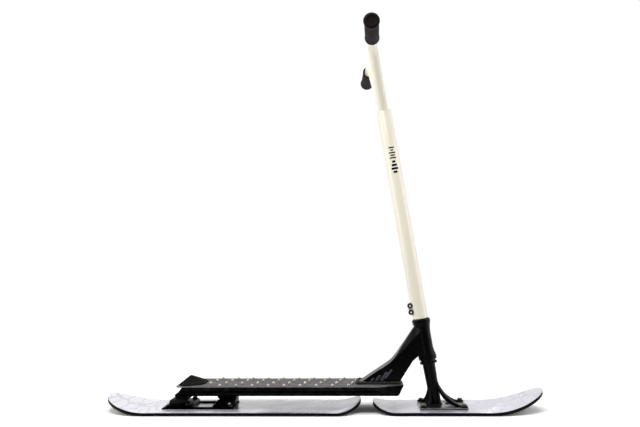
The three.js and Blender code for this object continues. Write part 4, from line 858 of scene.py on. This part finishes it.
# %% Tail wedge
WEDGE_OUTLINE = [(0, 0.72), (0.13, 0.9), (0.28, 1), (0.5, 0.9), (0.75, 0.77), (0.92, 0.6), (1, 0.3)]
WEDGE_CENTRE, WEDGE_LIP, WEDGE_TAPER, WEDGE_MERGE = 0.36, 1.4 * MM, 0.875, 0.3 * MM
wedge_low, wedge_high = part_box("tail_wedge")
wedge_half = (wedge_high.y - wedge_low.y) / 2
wedge_run = wedge_high.x - wedge_low.x

def wedge_ring(z, shrink):
    """The wedge's outline at one height, drawn in by a share towards its peak."""
    right = [(x, -y) for x, y in WEDGE_OUTLINE]
    loop = right + [(x, -y) for x, y in reversed(right)]
    return [Vector((wedge_low.x + wedge_run * (WEDGE_CENTRE + (x - WEDGE_CENTRE) * (1 - shrink)),
                    y * wedge_half * (1 - shrink), z)) for x, y in loop]

lip = wedge_low.z + WEDGE_LIP
rise = wedge_high.z - wedge_low.z - WEDGE_LIP
wedge_rows = [wedge_ring(wedge_low.z, 0.9), wedge_ring(wedge_low.z, 0.0), wedge_ring(lip, 0.0)]
wedge_rows += [wedge_ring(lip + rise * t, WEDGE_TAPER * t) for t in (0.02, 0.25, 0.5, 0.75, 0.93, 1.0)]
wedge_rows += [wedge_ring(wedge_high.z, 0.95)]
wedge_mesh = mesh_from("heel_wedge", *skin(wedge_rows), merge=WEDGE_MERGE)
piece("heel_wedge", wedge_mesh, "deck", "black_rubber", ("tail_wedge",), crease=24)
print("wedge faces:", len(wedge_mesh.polygons))

# %% [markdown]
# ## Neck and head tube
# The neck is a box of steel plate, welded to the deck's plate at its foot and
# to the head tube at its top. Seen from the side it sweeps up in a curve. A
# short table gives the height of its back at shares of its run, and a smooth
# curve through the table gives as many slices as the eye needs.

# %% A smooth curve through a table
def smooth_value(table, x):
    """Height at x on a smooth, never overshooting curve through (x, height) pairs."""
    if x <= table[0][0]:
        return table[0][1]
    if x >= table[-1][0]:
        return table[-1][1]
    k = next(i for i in range(len(table) - 1) if table[i + 1][0] >= x)

    def secant(i):
        (x0, y0), (x1, y1) = table[i], table[i + 1]
        return (y1 - y0) / (x1 - x0)

    def tangent(i):
        if i == 0:
            return secant(0)
        if i == len(table) - 1:
            return secant(i - 1)
        a, b = secant(i - 1), secant(i)
        return 0.0 if a * b <= 0 else 2 * a * b / (a + b)

    (x0, y0), (x1, y1) = table[k], table[k + 1]
    width = x1 - x0
    t = (x - x0) / width
    return ((2 * t ** 3 - 3 * t ** 2 + 1) * y0 + (t ** 3 - 2 * t ** 2 + t) * width * tangent(k)
            + (3 * t ** 2 - 2 * t ** 3) * y1 + (t ** 3 - t ** 2) * width * tangent(k + 1))

# Distances up the steering axis, in millimetres
CROWN, CROWN_TOP, HEAD_LOW, HEAD_HIGH = 106.0, 110.5, 115.1, 206.0
BAR_LOW, BAR_HIGH, GRIP_LINE = 209.0, 697.0, 827.7
AXIS_X = axis_foot.x / MM
print("halfway through a table of 0 and 2:", smooth_value([(0, 0), (1, 2)], 0.5))

# %% The neck's slices
NECK_HALF, FOOT_LENGTH, UNDER_SLOPE, CHAMFER = 24.0, 90.0, 1.55, 15.0
ARCH_ROOM, HEAD_SHARE, LEAN_START, LEAN_RUN, NARROWING = 7.9, 0.97, 0.84, 0.13, 5.5
NECK_SLICES, NECK_CORNERS = 54, 24
neck_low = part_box("neck")[0]
toe_x, floor_z = neck_low.x / MM, neck_low.z / MM
ARCH = HEAD_LOW * math.cos(rake) - deck_top / MM + ARCH_ROOM
ridge_shares = [(0, 0.025), (0.056, 0.045), (0.18, 0.125), (0.32, 0.218), (0.43, 0.284), (0.51, 0.347), (0.59, 0.439),
                (0.67, 0.559), (0.75, 0.678), (0.83, 0.8), (0.9, 0.905), (0.97, 0.97)]
side_shares = [(0, 0.01), (0.056, 0.035), (0.18, 0.121), (0.32, 0.215), (0.43, 0.288), (0.51, 0.345), (0.59, 0.415),
               (0.67, 0.494), (0.75, 0.58), (0.83, 0.672), (0.9, 0.758), (0.97, 0.842)]
head_z = HEAD_HIGH * math.cos(rake)
neck_rise = head_z - floor_z
neck_run = AXIS_X - head_z * math.tan(rake) - toe_x

def neck_slice(share):
    """One upright slice with chamfered upper corners, which leans as the head tube does near its top."""
    x = toe_x + neck_run * share
    ridge = floor_z + neck_rise * smooth_value(ridge_shares, share)
    side = floor_z + neck_rise * smooth_value(side_shares, share)
    low = floor_z + min(ARCH, max(0.0, x - toe_x - FOOT_LENGTH) * UNDER_SLOPE)
    near_head = min(1.0, max(0.0, (share - LEAN_START) / LEAN_RUN))
    lean = near_head * near_head * (3 - 2 * near_head)
    half = NECK_HALF - NARROWING * lean
    top_half = half - min(ridge - side, CHAMFER - NARROWING * lean)
    loop = [(-half, low), (half, low), (half, side), (top_half, ridge), (-top_half, ridge), (-half, side)]
    return [Vector((x + lean * (head_z - z) * math.tan(rake), y, z)) * MM for y, z in loop]

arch_share = (FOOT_LENGTH + ARCH / UNDER_SLOPE) / neck_run
slice_shares = {round(HEAD_SHARE * i / NECK_SLICES, 5) for i in range(NECK_SLICES + 1)}
slice_shares |= {round(FOOT_LENGTH / neck_run, 5), round(arch_share, 5)}
slices = [neck_slice(share) for share in sorted(slice_shares)]
neck_mesh = mesh_from("neck_box", *skin(slices, caps=True))
with edited(neck_mesh) as bm:
    bevel_sharp(bm, NECK_CORNERS, 1.1, 3, profile=0.6)
head_room = round_tool("head_room", 15.7, HEAD_LOW - 40, HEAD_HIGH + 40)
head_room.transform(to_axis)
neck_mesh = carve(neck_mesh, head_room, "DIFFERENCE")
piece("neck_box", neck_mesh, "deck", "black_coat", ("neck",))
print("neck slices:", len(slices))

# %% A grey emblem on each side of the neck
# For each bar: its x and z from the neck's toe, its width and its height in millimetres
EMBLEM_BARS = ((26, 7, 6, 6), (36, 7, 7, 12), (47, 7, 8, 19), (59, 12, 4, 20))
EMBLEM_SLANT = 0.7
BOX_FACES = ((0, 1, 2, 3), (4, 5, 6, 7), (0, 1, 5, 4), (1, 2, 6, 5), (2, 3, 7, 6), (3, 0, 4, 7))

def slanted_bar(x, z, wide, tall, side):
    """Corners of a thin slanted bar that lies on the neck's side, in metres."""
    lean = tall * EMBLEM_SLANT
    outline = [(x, z), (x + wide, z), (x + wide + lean, z + tall), (x + lean, z + tall)]
    return [Vector((px, side * y, pz)) * MM for y in (NECK_HALF + 0.01, NECK_HALF + 0.13) for px, pz in outline]

def gather(parts):
    """One list of points and one of faces from several of them."""
    points, faces = [], []
    for more_points, more_faces in parts:
        faces += [tuple(len(points) + k for k in face) for face in more_faces]
        points += more_points
    return points, faces

emblem = gather([(slanted_bar(toe_x + x, floor_z + z, wide, tall, side), BOX_FACES)
                 for side in (-1, 1) for x, z, wide, tall in EMBLEM_BARS])
piece("neck_emblem", mesh_from("neck_emblem", *emblem), "deck", "black_coat", finish="emblem_grey")
print("emblem bars:", len(emblem[0]) // 8)

# %% Weld beads on the deck
def weld(name, path, body, metal, pitch=2.1, radius=2.3, flatness=0.7, seed=3):
    """A bead along a path of points in metres. Its sizes are in millimetres."""
    mesh = grown(name, bead, points_mesh(name, path, chain=True), Pitch=pitch * MM, Radius=radius * MM,
                 Flatness=flatness, Seed=seed, Metal=finishes[metal])
    piece(name, mesh, body, "black_coat", painted=True)

front_x = toe_x + FOOT_LENGTH
foot_z, side_y = floor_z + 0.5, NECK_HALF + 2.4
foot_path = [(front_x, -side_y), (toe_x + 1, -side_y), (toe_x - 1.2, -NECK_HALF + 3), (toe_x - 1.2, NECK_HALF - 3),
             (toe_x + 1, side_y), (front_x, side_y), (front_x + 1, NECK_HALF - 2), (front_x + 1, -NECK_HALF + 2),
             (front_x, -side_y)]
weld("foot_weld", [Vector((x, y, foot_z)) * MM for x, y in foot_path], "deck", "weld_coat", 4.2, 5.9, 1.0)
for side_name, side in (("left", 1), ("right", -1)):
    seam_line = [to_axis @ (Vector((-6.2, side * 17.0, HEAD_LOW + 10 + 5 * i)) * MM) for i in range(13)]
    weld(f"head_weld_{side_name}", seam_line, "deck", "black_coat", pitch=2.2, radius=2.2, seed=11)
print("welds:", [n for n in made_pieces if "weld" in n])

# %% Head tube, cups and race
HEAD_STEPS, CUP_INNER, CUP_OUTER = 44, 14.7, 18.2
head_radii = [(0, 20.4), (0.07, 20.5), (0.13, 19.6), (0.2, 17.74), (0.34, 16.6), (0.62, 16.6), (0.74, 17.13),
              (0.86, 18.8), (0.95, 20.74), (1.0, 21.0)]
head_length = HEAD_HIGH - HEAD_LOW
outside = [(smooth_value(head_radii, i / HEAD_STEPS), HEAD_LOW + head_length * i / HEAD_STEPS)
           for i in range(HEAD_STEPS + 1)]
outside[:1] = [(outside[0][0] - 0.5, HEAD_LOW), (head_radii[0][1], HEAD_LOW + 0.5)]
outside[-1:] = [(20.9, HEAD_HIGH - 0.6), (20.4, HEAD_HIGH)]
inside = [(18.6, HEAD_HIGH), (18.5, HEAD_HIGH - 6.8), (14.8, HEAD_HIGH - 7),
          (14.8, HEAD_LOW + 7), (18.5, HEAD_LOW + 6.8), (18.6, HEAD_LOW)]
turned_piece("head_barrel", outside + inside + outside[:1], "deck", "black_coat", ("head_tube",), crease=32)

def washer_ring(name, inner, outer, low, high, body, slot, node, round_off=0.4, finish=None):
    profile = [(inner, low), (outer - round_off, low), (outer, low + round_off), (outer, high - round_off),
               (outer - round_off, high), (inner, high), (inner, low)]
    turned_piece(name, profile, body, slot, (node,), finish=finish)

washer_ring("lower_cup", CUP_INNER, CUP_OUTER, HEAD_LOW + 0.3, HEAD_LOW + 6.7, "deck", "bright_steel", "lower_bearing",
            finish="black_steel")
washer_ring("upper_cup", CUP_INNER, CUP_OUTER, HEAD_HIGH - 6.7, HEAD_HIGH - 0.3, "deck", "bright_steel",
            "upper_bearing")
washer_ring("crown_ring", 14.6, 17.0, CROWN_TOP + 0.3, CROWN_TOP + 4.3, "steering", "bright_steel", "crown_race",
            finish="black_steel")
washer_ring("dust_cover", 14.6, 18.8, HEAD_HIGH + 0.3, HEAD_HIGH + 2.7, "steering", "black_steel", "headset_cover", 0.7)
print("head tube from", HEAD_LOW, "to", HEAD_HIGH, "mm up the axis")

# %% [markdown]
# ## Fork
# Under the head tube a tapered post runs down to a cut steel plate on the
# front board. Four curved blades brace it, and each ends in a pad under a cap
# screw. The post is turned and cut off level with the plate.

# %% The post and its crown
post_profile = [(0.01, 0), (12.4, 0), (12.9, 30), (13.5, 66), (14.3, CROWN - 4), (14.8, CROWN - 1.4),
                (16.4, CROWN - 0.2), (19.2, CROWN), (19.7, CROWN + 0.5), (19.7, CROWN_TOP - 0.5), (19.2, CROWN_TOP),
                (0.01, CROWN_TOP)]
post = lathe("fork_stem", post_profile, merge=0.03 * MM)
post.transform(to_axis)
plate_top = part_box("fork_plate")[1].z
with edited(post) as bm:
    cut = bmesh.ops.bisect_plane(bm, geom=bm.verts[:] + bm.edges[:] + bm.faces[:], clear_inner=True,
                                 plane_co=(0, 0, plate_top + 0.1 * MM), plane_no=(0, 0, 1))
    bmesh.ops.contextual_create(bm, geom=[e for e in cut["geom_cut"] if isinstance(e, bmesh.types.BMEdge)])
piece("fork_stem", post, "steering", "black_coat", ("fork_post",))
print("the post is cut off at", round(plate_top / MM, 1), "mm")

# %% Blades, plate and screws
POST_STEPS = 40
for corner in ("front_left", "front_right", "rear_left", "rear_right"):
    softened(f"blade_{corner}", f"fork_strut_{corner}", 0.9, "steering", "black_coat", sharp=35)
softened("board_plate", "fork_plate", 0.35, "steering", "bare_steel", segments=1)
fork_bolts = tuple(f"fork_bolt_{i}" for i in range(1, 5))
fasten_tops("plate_screws", fork_bolts, fork_screw, 3.8, "steering", "oiled_steel", "bright_steel")

def post_loop(radius, low_z):
    """Points round the post at one height."""
    centre = axis_foot + axis_up * (low_z * MM / axis_up.z)
    return [centre + Vector((*circle_point(radius, k, POST_STEPS), 0)) * MM for k in range(POST_STEPS + 1)]

weld("post_weld", post_loop(12.9, plate_top / MM + 1.0), "steering", "weld_coat", radius=2.1, seed=8)
print("fork pieces:", [n for n in made_pieces if "blade" in n or "post" in n])

# %% [markdown]
# ## The bar
# A straight tube clamps on the steerer with two screws behind a sawn slit.
# At its top two smaller tubes spread like a Y and bend outwards to the grips.
# The clamp is cut with booleans, as the real one is sawn and drilled. The Y
# tubes follow a path, so a geometry tree sweeps them.

# %% The clamp's lug
TUBE_R, TUBE_WALL = 17.45, 1.6
FIRST_BOLT, BOLT_PITCH, BOLT_BACK = 17.6, 15.1, 19.8
LUG_REACH, LUG_MARGIN, LUG_HALF, LUG_CENTRE, LUG_SINK = 24.5, 8.0, 8.2, 3.0, 3
bolt_heights = [BAR_LOW + FIRST_BOLT, BAR_LOW + FIRST_BOLT + BOLT_PITCH]

def lug_outline():
    """The lug from the side: straight flanks that run into two round ears behind the screws."""
    low, high = bolt_heights
    ear = LUG_REACH - BOLT_BACK + LUG_CENTRE

    def arc(middle, way, degrees):
        return [(-BOLT_BACK + LUG_CENTRE - ear * math.cos(a), middle + way * ear * math.sin(a))
                for a in (math.radians(d) for d in degrees)]

    return ([(-TUBE_R + LUG_SINK, low - LUG_MARGIN - LUG_SINK)] + arc(low, -1, range(80, -1, -16))
            + arc(high, 1, range(0, 81, 16)) + [(-TUBE_R + LUG_SINK, high + LUG_MARGIN + LUG_SINK)])

def slab(points, half):
    """A side outline of (x, z) carried across from -half to half, in millimetres."""
    count = len(points)
    verts = [Vector((x, y, z)) * MM for y in (-half, half) for x, z in points]
    faces = [tuple(range(count)), tuple(count + k for k in range(count))]
    faces += [(k, (k + 1) % count, count + (k + 1) % count, count + k) for k in range(count)]
    return mesh_from("slab", verts, faces)

lug = slab(lug_outline(), LUG_HALF)
with edited(lug) as bm:
    bevel_sharp(bm, 60, 1.6, 3)
lug = carve(lug, round_tool("mid_wall", TUBE_R - TUBE_WALL / 2, BAR_LOW - 5, BAR_LOW + 90), "DIFFERENCE")
print("screws of the clamp at", bolt_heights, "mm up the axis")

# %% The clamped tube
SLIT_HALF, SLIT_TOP, SLIT_FRONT, SLIT_END_R = 1.5, 74, -8, 2.6
HOLE_R, SEAT_R, SEAT_DEPTH, KEY_R = 3.3, 5.8, 7.9, 2.3
tube_profile = [(TUBE_R - TUBE_WALL, BAR_LOW), (TUBE_R - 0.3, BAR_LOW), (TUBE_R, BAR_LOW + 0.3),
                (TUBE_R, BAR_HIGH - 1.2), (TUBE_R - 0.4, BAR_HIGH - 0.4), (TUBE_R - 1.4, BAR_HIGH),
                (0.01, BAR_HIGH), (0.01, BAR_HIGH - 3), (TUBE_R - TUBE_WALL, BAR_HIGH - 3),
                (TUBE_R - TUBE_WALL, BAR_LOW)]
tube_mesh = carve(lathe("bar_tube", tube_profile, 96, TOOL_MERGE), lug, "UNION")
slit_corners = [(-40, BAR_LOW - 5), (SLIT_FRONT, BAR_LOW - 5), (SLIT_FRONT, BAR_LOW + SLIT_TOP),
                (-40, BAR_LOW + SLIT_TOP)]
tube_mesh = carve(tube_mesh, slab(slit_corners, SLIT_HALF), "DIFFERENCE")
slit_end = round_tool("slit_end", SLIT_END_R, -30, SLIT_FRONT, 24)
slit_end.transform(Matrix.Translation(Vector((0, 0, BAR_LOW + SLIT_TOP)) * MM) @ Matrix.Rotation(math.pi / 2, 4, "Y"))
tube_mesh = carve(tube_mesh, slit_end, "DIFFERENCE")
drill_profile = [(0.01, -30), (HOLE_R, -30), (HOLE_R, SEAT_DEPTH), (SEAT_R, SEAT_DEPTH), (SEAT_R, 30), (0.01, 30)]
for height in bolt_heights:
    drill = lathe("drill", drill_profile, 32, TOOL_MERGE)
    drill.transform(Matrix.Translation(Vector((-BOLT_BACK, 0, height)) * MM) @ Matrix.Rotation(math.pi / 2, 4, "X"))
    tube_mesh = carve(tube_mesh, drill, "DIFFERENCE")
tube_back = min(v.co.x for v in tube_mesh.vertices) / MM
tube_mesh.transform(to_axis)
piece("bar_tube", tube_mesh, "steering", "ivory_paint", ("bar_downtube",), crease=32)
clamp_places = [Vector((-BOLT_BACK, -8.1, h)) * MM for h in bolt_heights]
clamp_mesh = driven_mesh("clamp_screws", clamp_screw, clamp_places, (math.pi / 2, 0, 0), "black_steel", seed=4)

def in_key_highlight(face):
    return min(math.hypot(face.center.x + BOLT_BACK * MM, face.center.z - h * MM) for h in bolt_heights) < KEY_R * MM

# The faces in each clamp screw's key hole are painted ivory: a painted highlight, a bright spot in the black head.
repaint(clamp_mesh, "ivory_paint", in_key_highlight)
clamp_mesh.transform(to_axis)
piece("clamp_screws", clamp_mesh, "steering", "black_steel", ("clamp_bolt_1", "clamp_bolt_2"), painted=True)
print("bar tube faces:", len(tube_mesh.polygons), "and its lug reaches", round(-tube_back, 1), "mm back")

# %% Black bars printed on the tube
# For each bar: its start above the first, its height in millimetres, and its spread in degrees
TUBE_BARS = [(0, 5, 30), (8, 5, 52), (16, 5, 40), (24, 5, 24), (34, 3, 50), (40, 3, 34), (46, 3, 50), (52, 3, 22),
             (58, 3, 44)]
FIRST_BAR, BARS_FACE, PATCH_THICK, PATCH_STEPS = BAR_LOW + 338, math.radians(-86), 0.12, 10

def wrapped_patch(radius, low, high, from_angle, to_angle):
    """A thin shell that lies on the tube between two heights and two angles, in millimetres and radians."""
    corners = [(radius, low), (radius + PATCH_THICK, low), (radius + PATCH_THICK, high), (radius, high)]
    rows = []
    for i in range(PATCH_STEPS + 1):
        angle = from_angle + (to_angle - from_angle) * i / PATCH_STEPS
        rows.append([Vector((r * math.cos(angle), r * math.sin(angle), z)) * MM for r, z in corners])
    return skin(rows, caps=True)

patches = []
for up_tube, tall, degrees in TUBE_BARS:
    low, half = FIRST_BAR + up_tube, math.radians(degrees / 2)
    patches.append(wrapped_patch(TUBE_R + 0.01, low, low + tall, BARS_FACE - half, BARS_FACE + half))
bars = mesh_from("tube_marks", *gather(patches))
bars.transform(to_axis)
piece("tube_marks", bars, "steering", "black_coat")
print("bars printed on the tube:", len(TUBE_BARS))

# %% The tree that sweeps a tube along a path
swept, start = growing_tree("swept_tube", [
    ("Radius", "Float", 0.0111), ("Sides", "Int", 48), ("Paint", "Material", None),
])
spine = put(swept, "GeometryNodeMeshToCurve", {"Mesh": start["Geometry"]})["Curve"]
section = put(swept, "GeometryNodeCurvePrimitiveCircle", {"Radius": start["Radius"], "Resolution": start["Sides"]},
              mode="RADIUS")["Curve"]
sweep = put(swept, "GeometryNodeCurveToMesh", {"Curve": spine, "Profile Curve": section, "Fill Caps": True})["Mesh"]
end_tree(swept, sweep, start["Paint"])

# %% The Y tubes
CORNER, HALF_SPAN, BEND, LEAN, SWEEP, BEND_STEPS = 95.0, 282.0, 50.0, 6.0, 6.0, 20

def bent_path(start_point, corner, finish_point, radius):
    """Points along two straight runs and the round bend between them."""
    first = (corner - start_point).normalized()
    second = (finish_point - corner).normalized()
    angle = first.angle(second)
    inward = (second - first * first.dot(second)).normalized()
    arc_start = corner - first * radius * math.tan(angle / 2)
    points = [start_point]
    for i in range(BEND_STEPS + 1):
        turn_angle = angle * i / BEND_STEPS
        points.append(arc_start + first * radius * math.sin(turn_angle) + inward * radius * (1 - math.cos(turn_angle)))
    return points + [finish_point]

def leg_path(side):
    root = Vector((0, 0, BAR_HIGH - 8))
    corner = Vector((-LEAN, side * CORNER, GRIP_LINE))
    tip = Vector((-LEAN - SWEEP, side * HALF_SPAN, GRIP_LINE))
    return [to_axis @ (p * MM) for p in bent_path(root, corner, tip, BEND)]

for side_name, side in (("left", 1), ("right", -1)):
    name = f"y_tube_{side_name}"
    path = points_mesh(name, leg_path(side), chain=True)
    mesh = grown(name, swept, path, Radius=11.1 * MM, Paint=finishes["ivory_paint"])
    piece(name, mesh, "steering", "ivory_paint", (f"bar_leg_{side_name}",), painted=True)
print("Y tubes reach", round(leg_path(1)[-1].y / MM), "mm to each side")

# %% [markdown]
# ## Grips
# Each grip is a ribbed rubber sleeve with a flange inside and a round plug in
# its end. Both are turned along +Z and then laid along the bar's straight end.

# %% Turn the grips
GRIP_LENGTH, GRIP_BORE, GRIP_R, FLANGE_R, RIBS, RIB_DEPTH = 122.0, 11.4, 15.1, 16.0, 26, 0.45
bar_slope = SWEEP / (HALF_SPAN - CORNER)

def bar_end_place(side, from_end):
    """The frame at a distance from the bar's end, with +Z outwards along the bar."""
    origin = Vector((-LEAN - SWEEP + from_end * bar_slope, side * (HALF_SPAN - from_end), GRIP_LINE)) * MM
    outwards = Vector((-bar_slope, side, 0)).normalized()
    return to_axis @ Matrix.Translation(origin) @ outwards.to_track_quat("Z", "Y").to_matrix().to_4x4()

sleeve = [(GRIP_BORE, 0), (FLANGE_R - 0.6, 0), (FLANGE_R, 0.6), (FLANGE_R, 2.2), (FLANGE_R - 0.7, 3.2),
          (GRIP_R + 0.4, 4.2), (GRIP_R, 5.4)]
rib_pitch = (GRIP_LENGTH - 16) / RIBS
for i in range(RIBS):
    z = 8 + i * rib_pitch
    sleeve += [(GRIP_R - 0.1, z), (GRIP_R - RIB_DEPTH, z + 0.15 * rib_pitch), (GRIP_R - RIB_DEPTH, z + 0.4 * rib_pitch),
               (GRIP_R - 0.08, z + 0.55 * rib_pitch), (GRIP_R, z + 0.78 * rib_pitch)]
sleeve += [(GRIP_R, GRIP_LENGTH - 6), (GRIP_R, GRIP_LENGTH - 1), (GRIP_R - 0.8, GRIP_LENGTH), (GRIP_BORE, GRIP_LENGTH),
           (GRIP_BORE, 0)]
plug = [(0.01, -6), (9, -6), (9, 0.3), (14.8, 0.3), (15.9, 1.2), (16.6, 3.0), (16.7, 4.6), (16.2, 6.4), (14.9, 7.9),
        (12.6, 8.8), (10.2, 9.0), (9.4, 8.5), (8.6, 7.4), (0.01, 7.0)]
for side_name, side in (("left", 1), ("right", -1)):
    for name, profile, node, from_end in (("sleeve", sleeve, "grip", GRIP_LENGTH), ("end_plug", plug, "bar_end", 0)):
        turned_piece(f"{name}_{side_name}", profile, "steering", "grip_rubber", (f"{node}_{side_name}",),
                     bar_end_place(side, from_end), 48, 50)
print("ribs on each grip:", RIBS)

# %% [markdown]
# ## The rear truck
# A hanger is screwed under the deck. It turns on a bolt between the two ears of
# a base that is screwed to the rear board. Behind the bolt a rubber block is
# held between the base's seat and the hanger, so the board springs back level.
# The block is bonded to both.

# %% Base, hanger and seat
softened("truck_plate", "truck_base", 0.5, "rear_ski", "black_alloy")
softened("truck_hanger", "rear_hanger", 0.6, "deck", "black_alloy")
softened("rubber_seat", "block_seat", 0.9, "rear_ski", "grey_cast")
print("truck pieces:", made_pieces[-3:])

# %% The rubber block
BLOCK_CORNER, BLOCK_STEPS, BLOCK_WAIST, BLOCK_CAP, BLOCK_SINK = 4.0, 6, 0.4, 12.0, 0.3
block_low, block_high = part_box("rubber_block")
block_half = (block_high - block_low) / 2 / MM
block_middle = middle_of(block_low, block_high) / MM

def block_ring(z, shrink):
    """A rounded rectangle at one height, drawn in by a few tenths of a millimetre."""
    reach_x, reach_y = block_half.x - shrink - BLOCK_CORNER, block_half.y - shrink - BLOCK_CORNER
    loop = []
    for quarter, (sx, sy) in enumerate(((1, 1), (-1, 1), (-1, -1), (1, -1))):
        for i in range(BLOCK_STEPS + 1):
            angle = (quarter + i / BLOCK_STEPS) * math.pi / 2
            loop.append(Vector((block_middle.x + sx * reach_x + BLOCK_CORNER * math.cos(angle),
                                block_middle.y + sy * reach_y + BLOCK_CORNER * math.sin(angle), z)) * MM)
    return loop

low_z, high_z = block_low.z / MM - BLOCK_SINK, block_high.z / MM + BLOCK_SINK
levels = [(low_z, BLOCK_CAP), (low_z, BLOCK_WAIST)]
levels += [(low_z + (high_z - low_z) * t, BLOCK_WAIST * (1 - math.sin(math.pi * t)))
           for t in (0.1, 0.25, 0.4, 0.5, 0.6, 0.75, 0.9)]
levels += [(high_z, BLOCK_WAIST), (high_z, BLOCK_CAP)]
block_mesh = mesh_from("spring_rubber", *skin([block_ring(z, shrink) for z, shrink in levels], caps=True))
spring = shaped("spring_rubber", block_mesh, finishes["black_rubber"], 40)
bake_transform(spring)
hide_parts("rubber_block")
print("rubber block is", round(high_z - low_z, 1), "mm high")

# %% Screws and pivot
HEAD_DEPTH, PIVOT_HIGHLIGHT_R, SHANK_R = 4.6 * MM, 2.4 * MM, 4.0
fasten_tops("truck_washer_screws", ("truck_rear_bolt_1", "truck_rear_bolt_2"), truck_screw, 5.0, "rear_ski",
            "black_steel", "bright_steel", 2)
fasten_tops("truck_front_screws", ("truck_front_bolt_1", "truck_front_bolt_2"), fork_screw, 3.8, "rear_ski",
            "black_steel", "bright_steel", 6)
hanger_nodes = tuple(f"hanger_bolt_{i}" for i in range(1, 5))
hanger_places = [(middle_of(low.x, high.x), middle_of(low.y, high.y), low.z + 3.0 * MM)
                 for low, high in (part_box(node) for node in hanger_nodes)]
fasten("hanger_screws", hanger_screw, hanger_places, (math.pi, 0, 0), "deck", "black_steel", "black_steel",
       hanger_nodes, 9)
bolt_low, bolt_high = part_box("pivot_bolt")
pivot_x, pivot_z = middle_of(bolt_low.x, bolt_high.x), middle_of(bolt_low.z, bolt_high.z)
head_foot = (pivot_x, bolt_low.y + HEAD_DEPTH, pivot_z)
bolt_head = driven_mesh("pivot_screw", pivot_screw, [head_foot], (math.pi / 2, 0, 0), "black_steel")
# The faces in the pivot screw's key hole get bright steel: a painted highlight, a bright spot in the black head.
repaint(bolt_head, "bright_steel",
        lambda face: math.hypot(face.center.x - pivot_x, face.center.z - pivot_z) < PIVOT_HIGHLIGHT_R)
shank = round_tool("shank", SHANK_R, 0, (bolt_high.y - bolt_low.y - HEAD_DEPTH) / MM, 32)
shank.transform(Matrix.Translation(head_foot) @ Matrix.Rotation(-math.pi / 2, 4, "X"))
with edited(bolt_head) as bm:
    bm.from_mesh(shank)
piece("pivot_screw", bolt_head, "rear_ski", "bright_steel", ("pivot_bolt",), painted=True)
nut_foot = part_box("pivot_nut")[0].y
fasten("lock_nut", pivot_nut_shape, [(pivot_x, nut_foot, pivot_z)], (-math.pi / 2, 0, 0), "rear_ski", "black_steel",
       "bright_steel", ("pivot_nut",))
print("pivot at", round(pivot_x / MM, 1), round(pivot_z / MM, 1))

# %% Finishes for the solids that stay
slot_of = {s["node"]: s["material_slot"] for s in frame["record"]["subparts"]}
for node, solid in frame["nodes"].items():
    solid.data.materials.clear()
    solid.data.materials.append(finish_of(slot_of[node]))
print("solids given a finish:", len(frame["nodes"]))
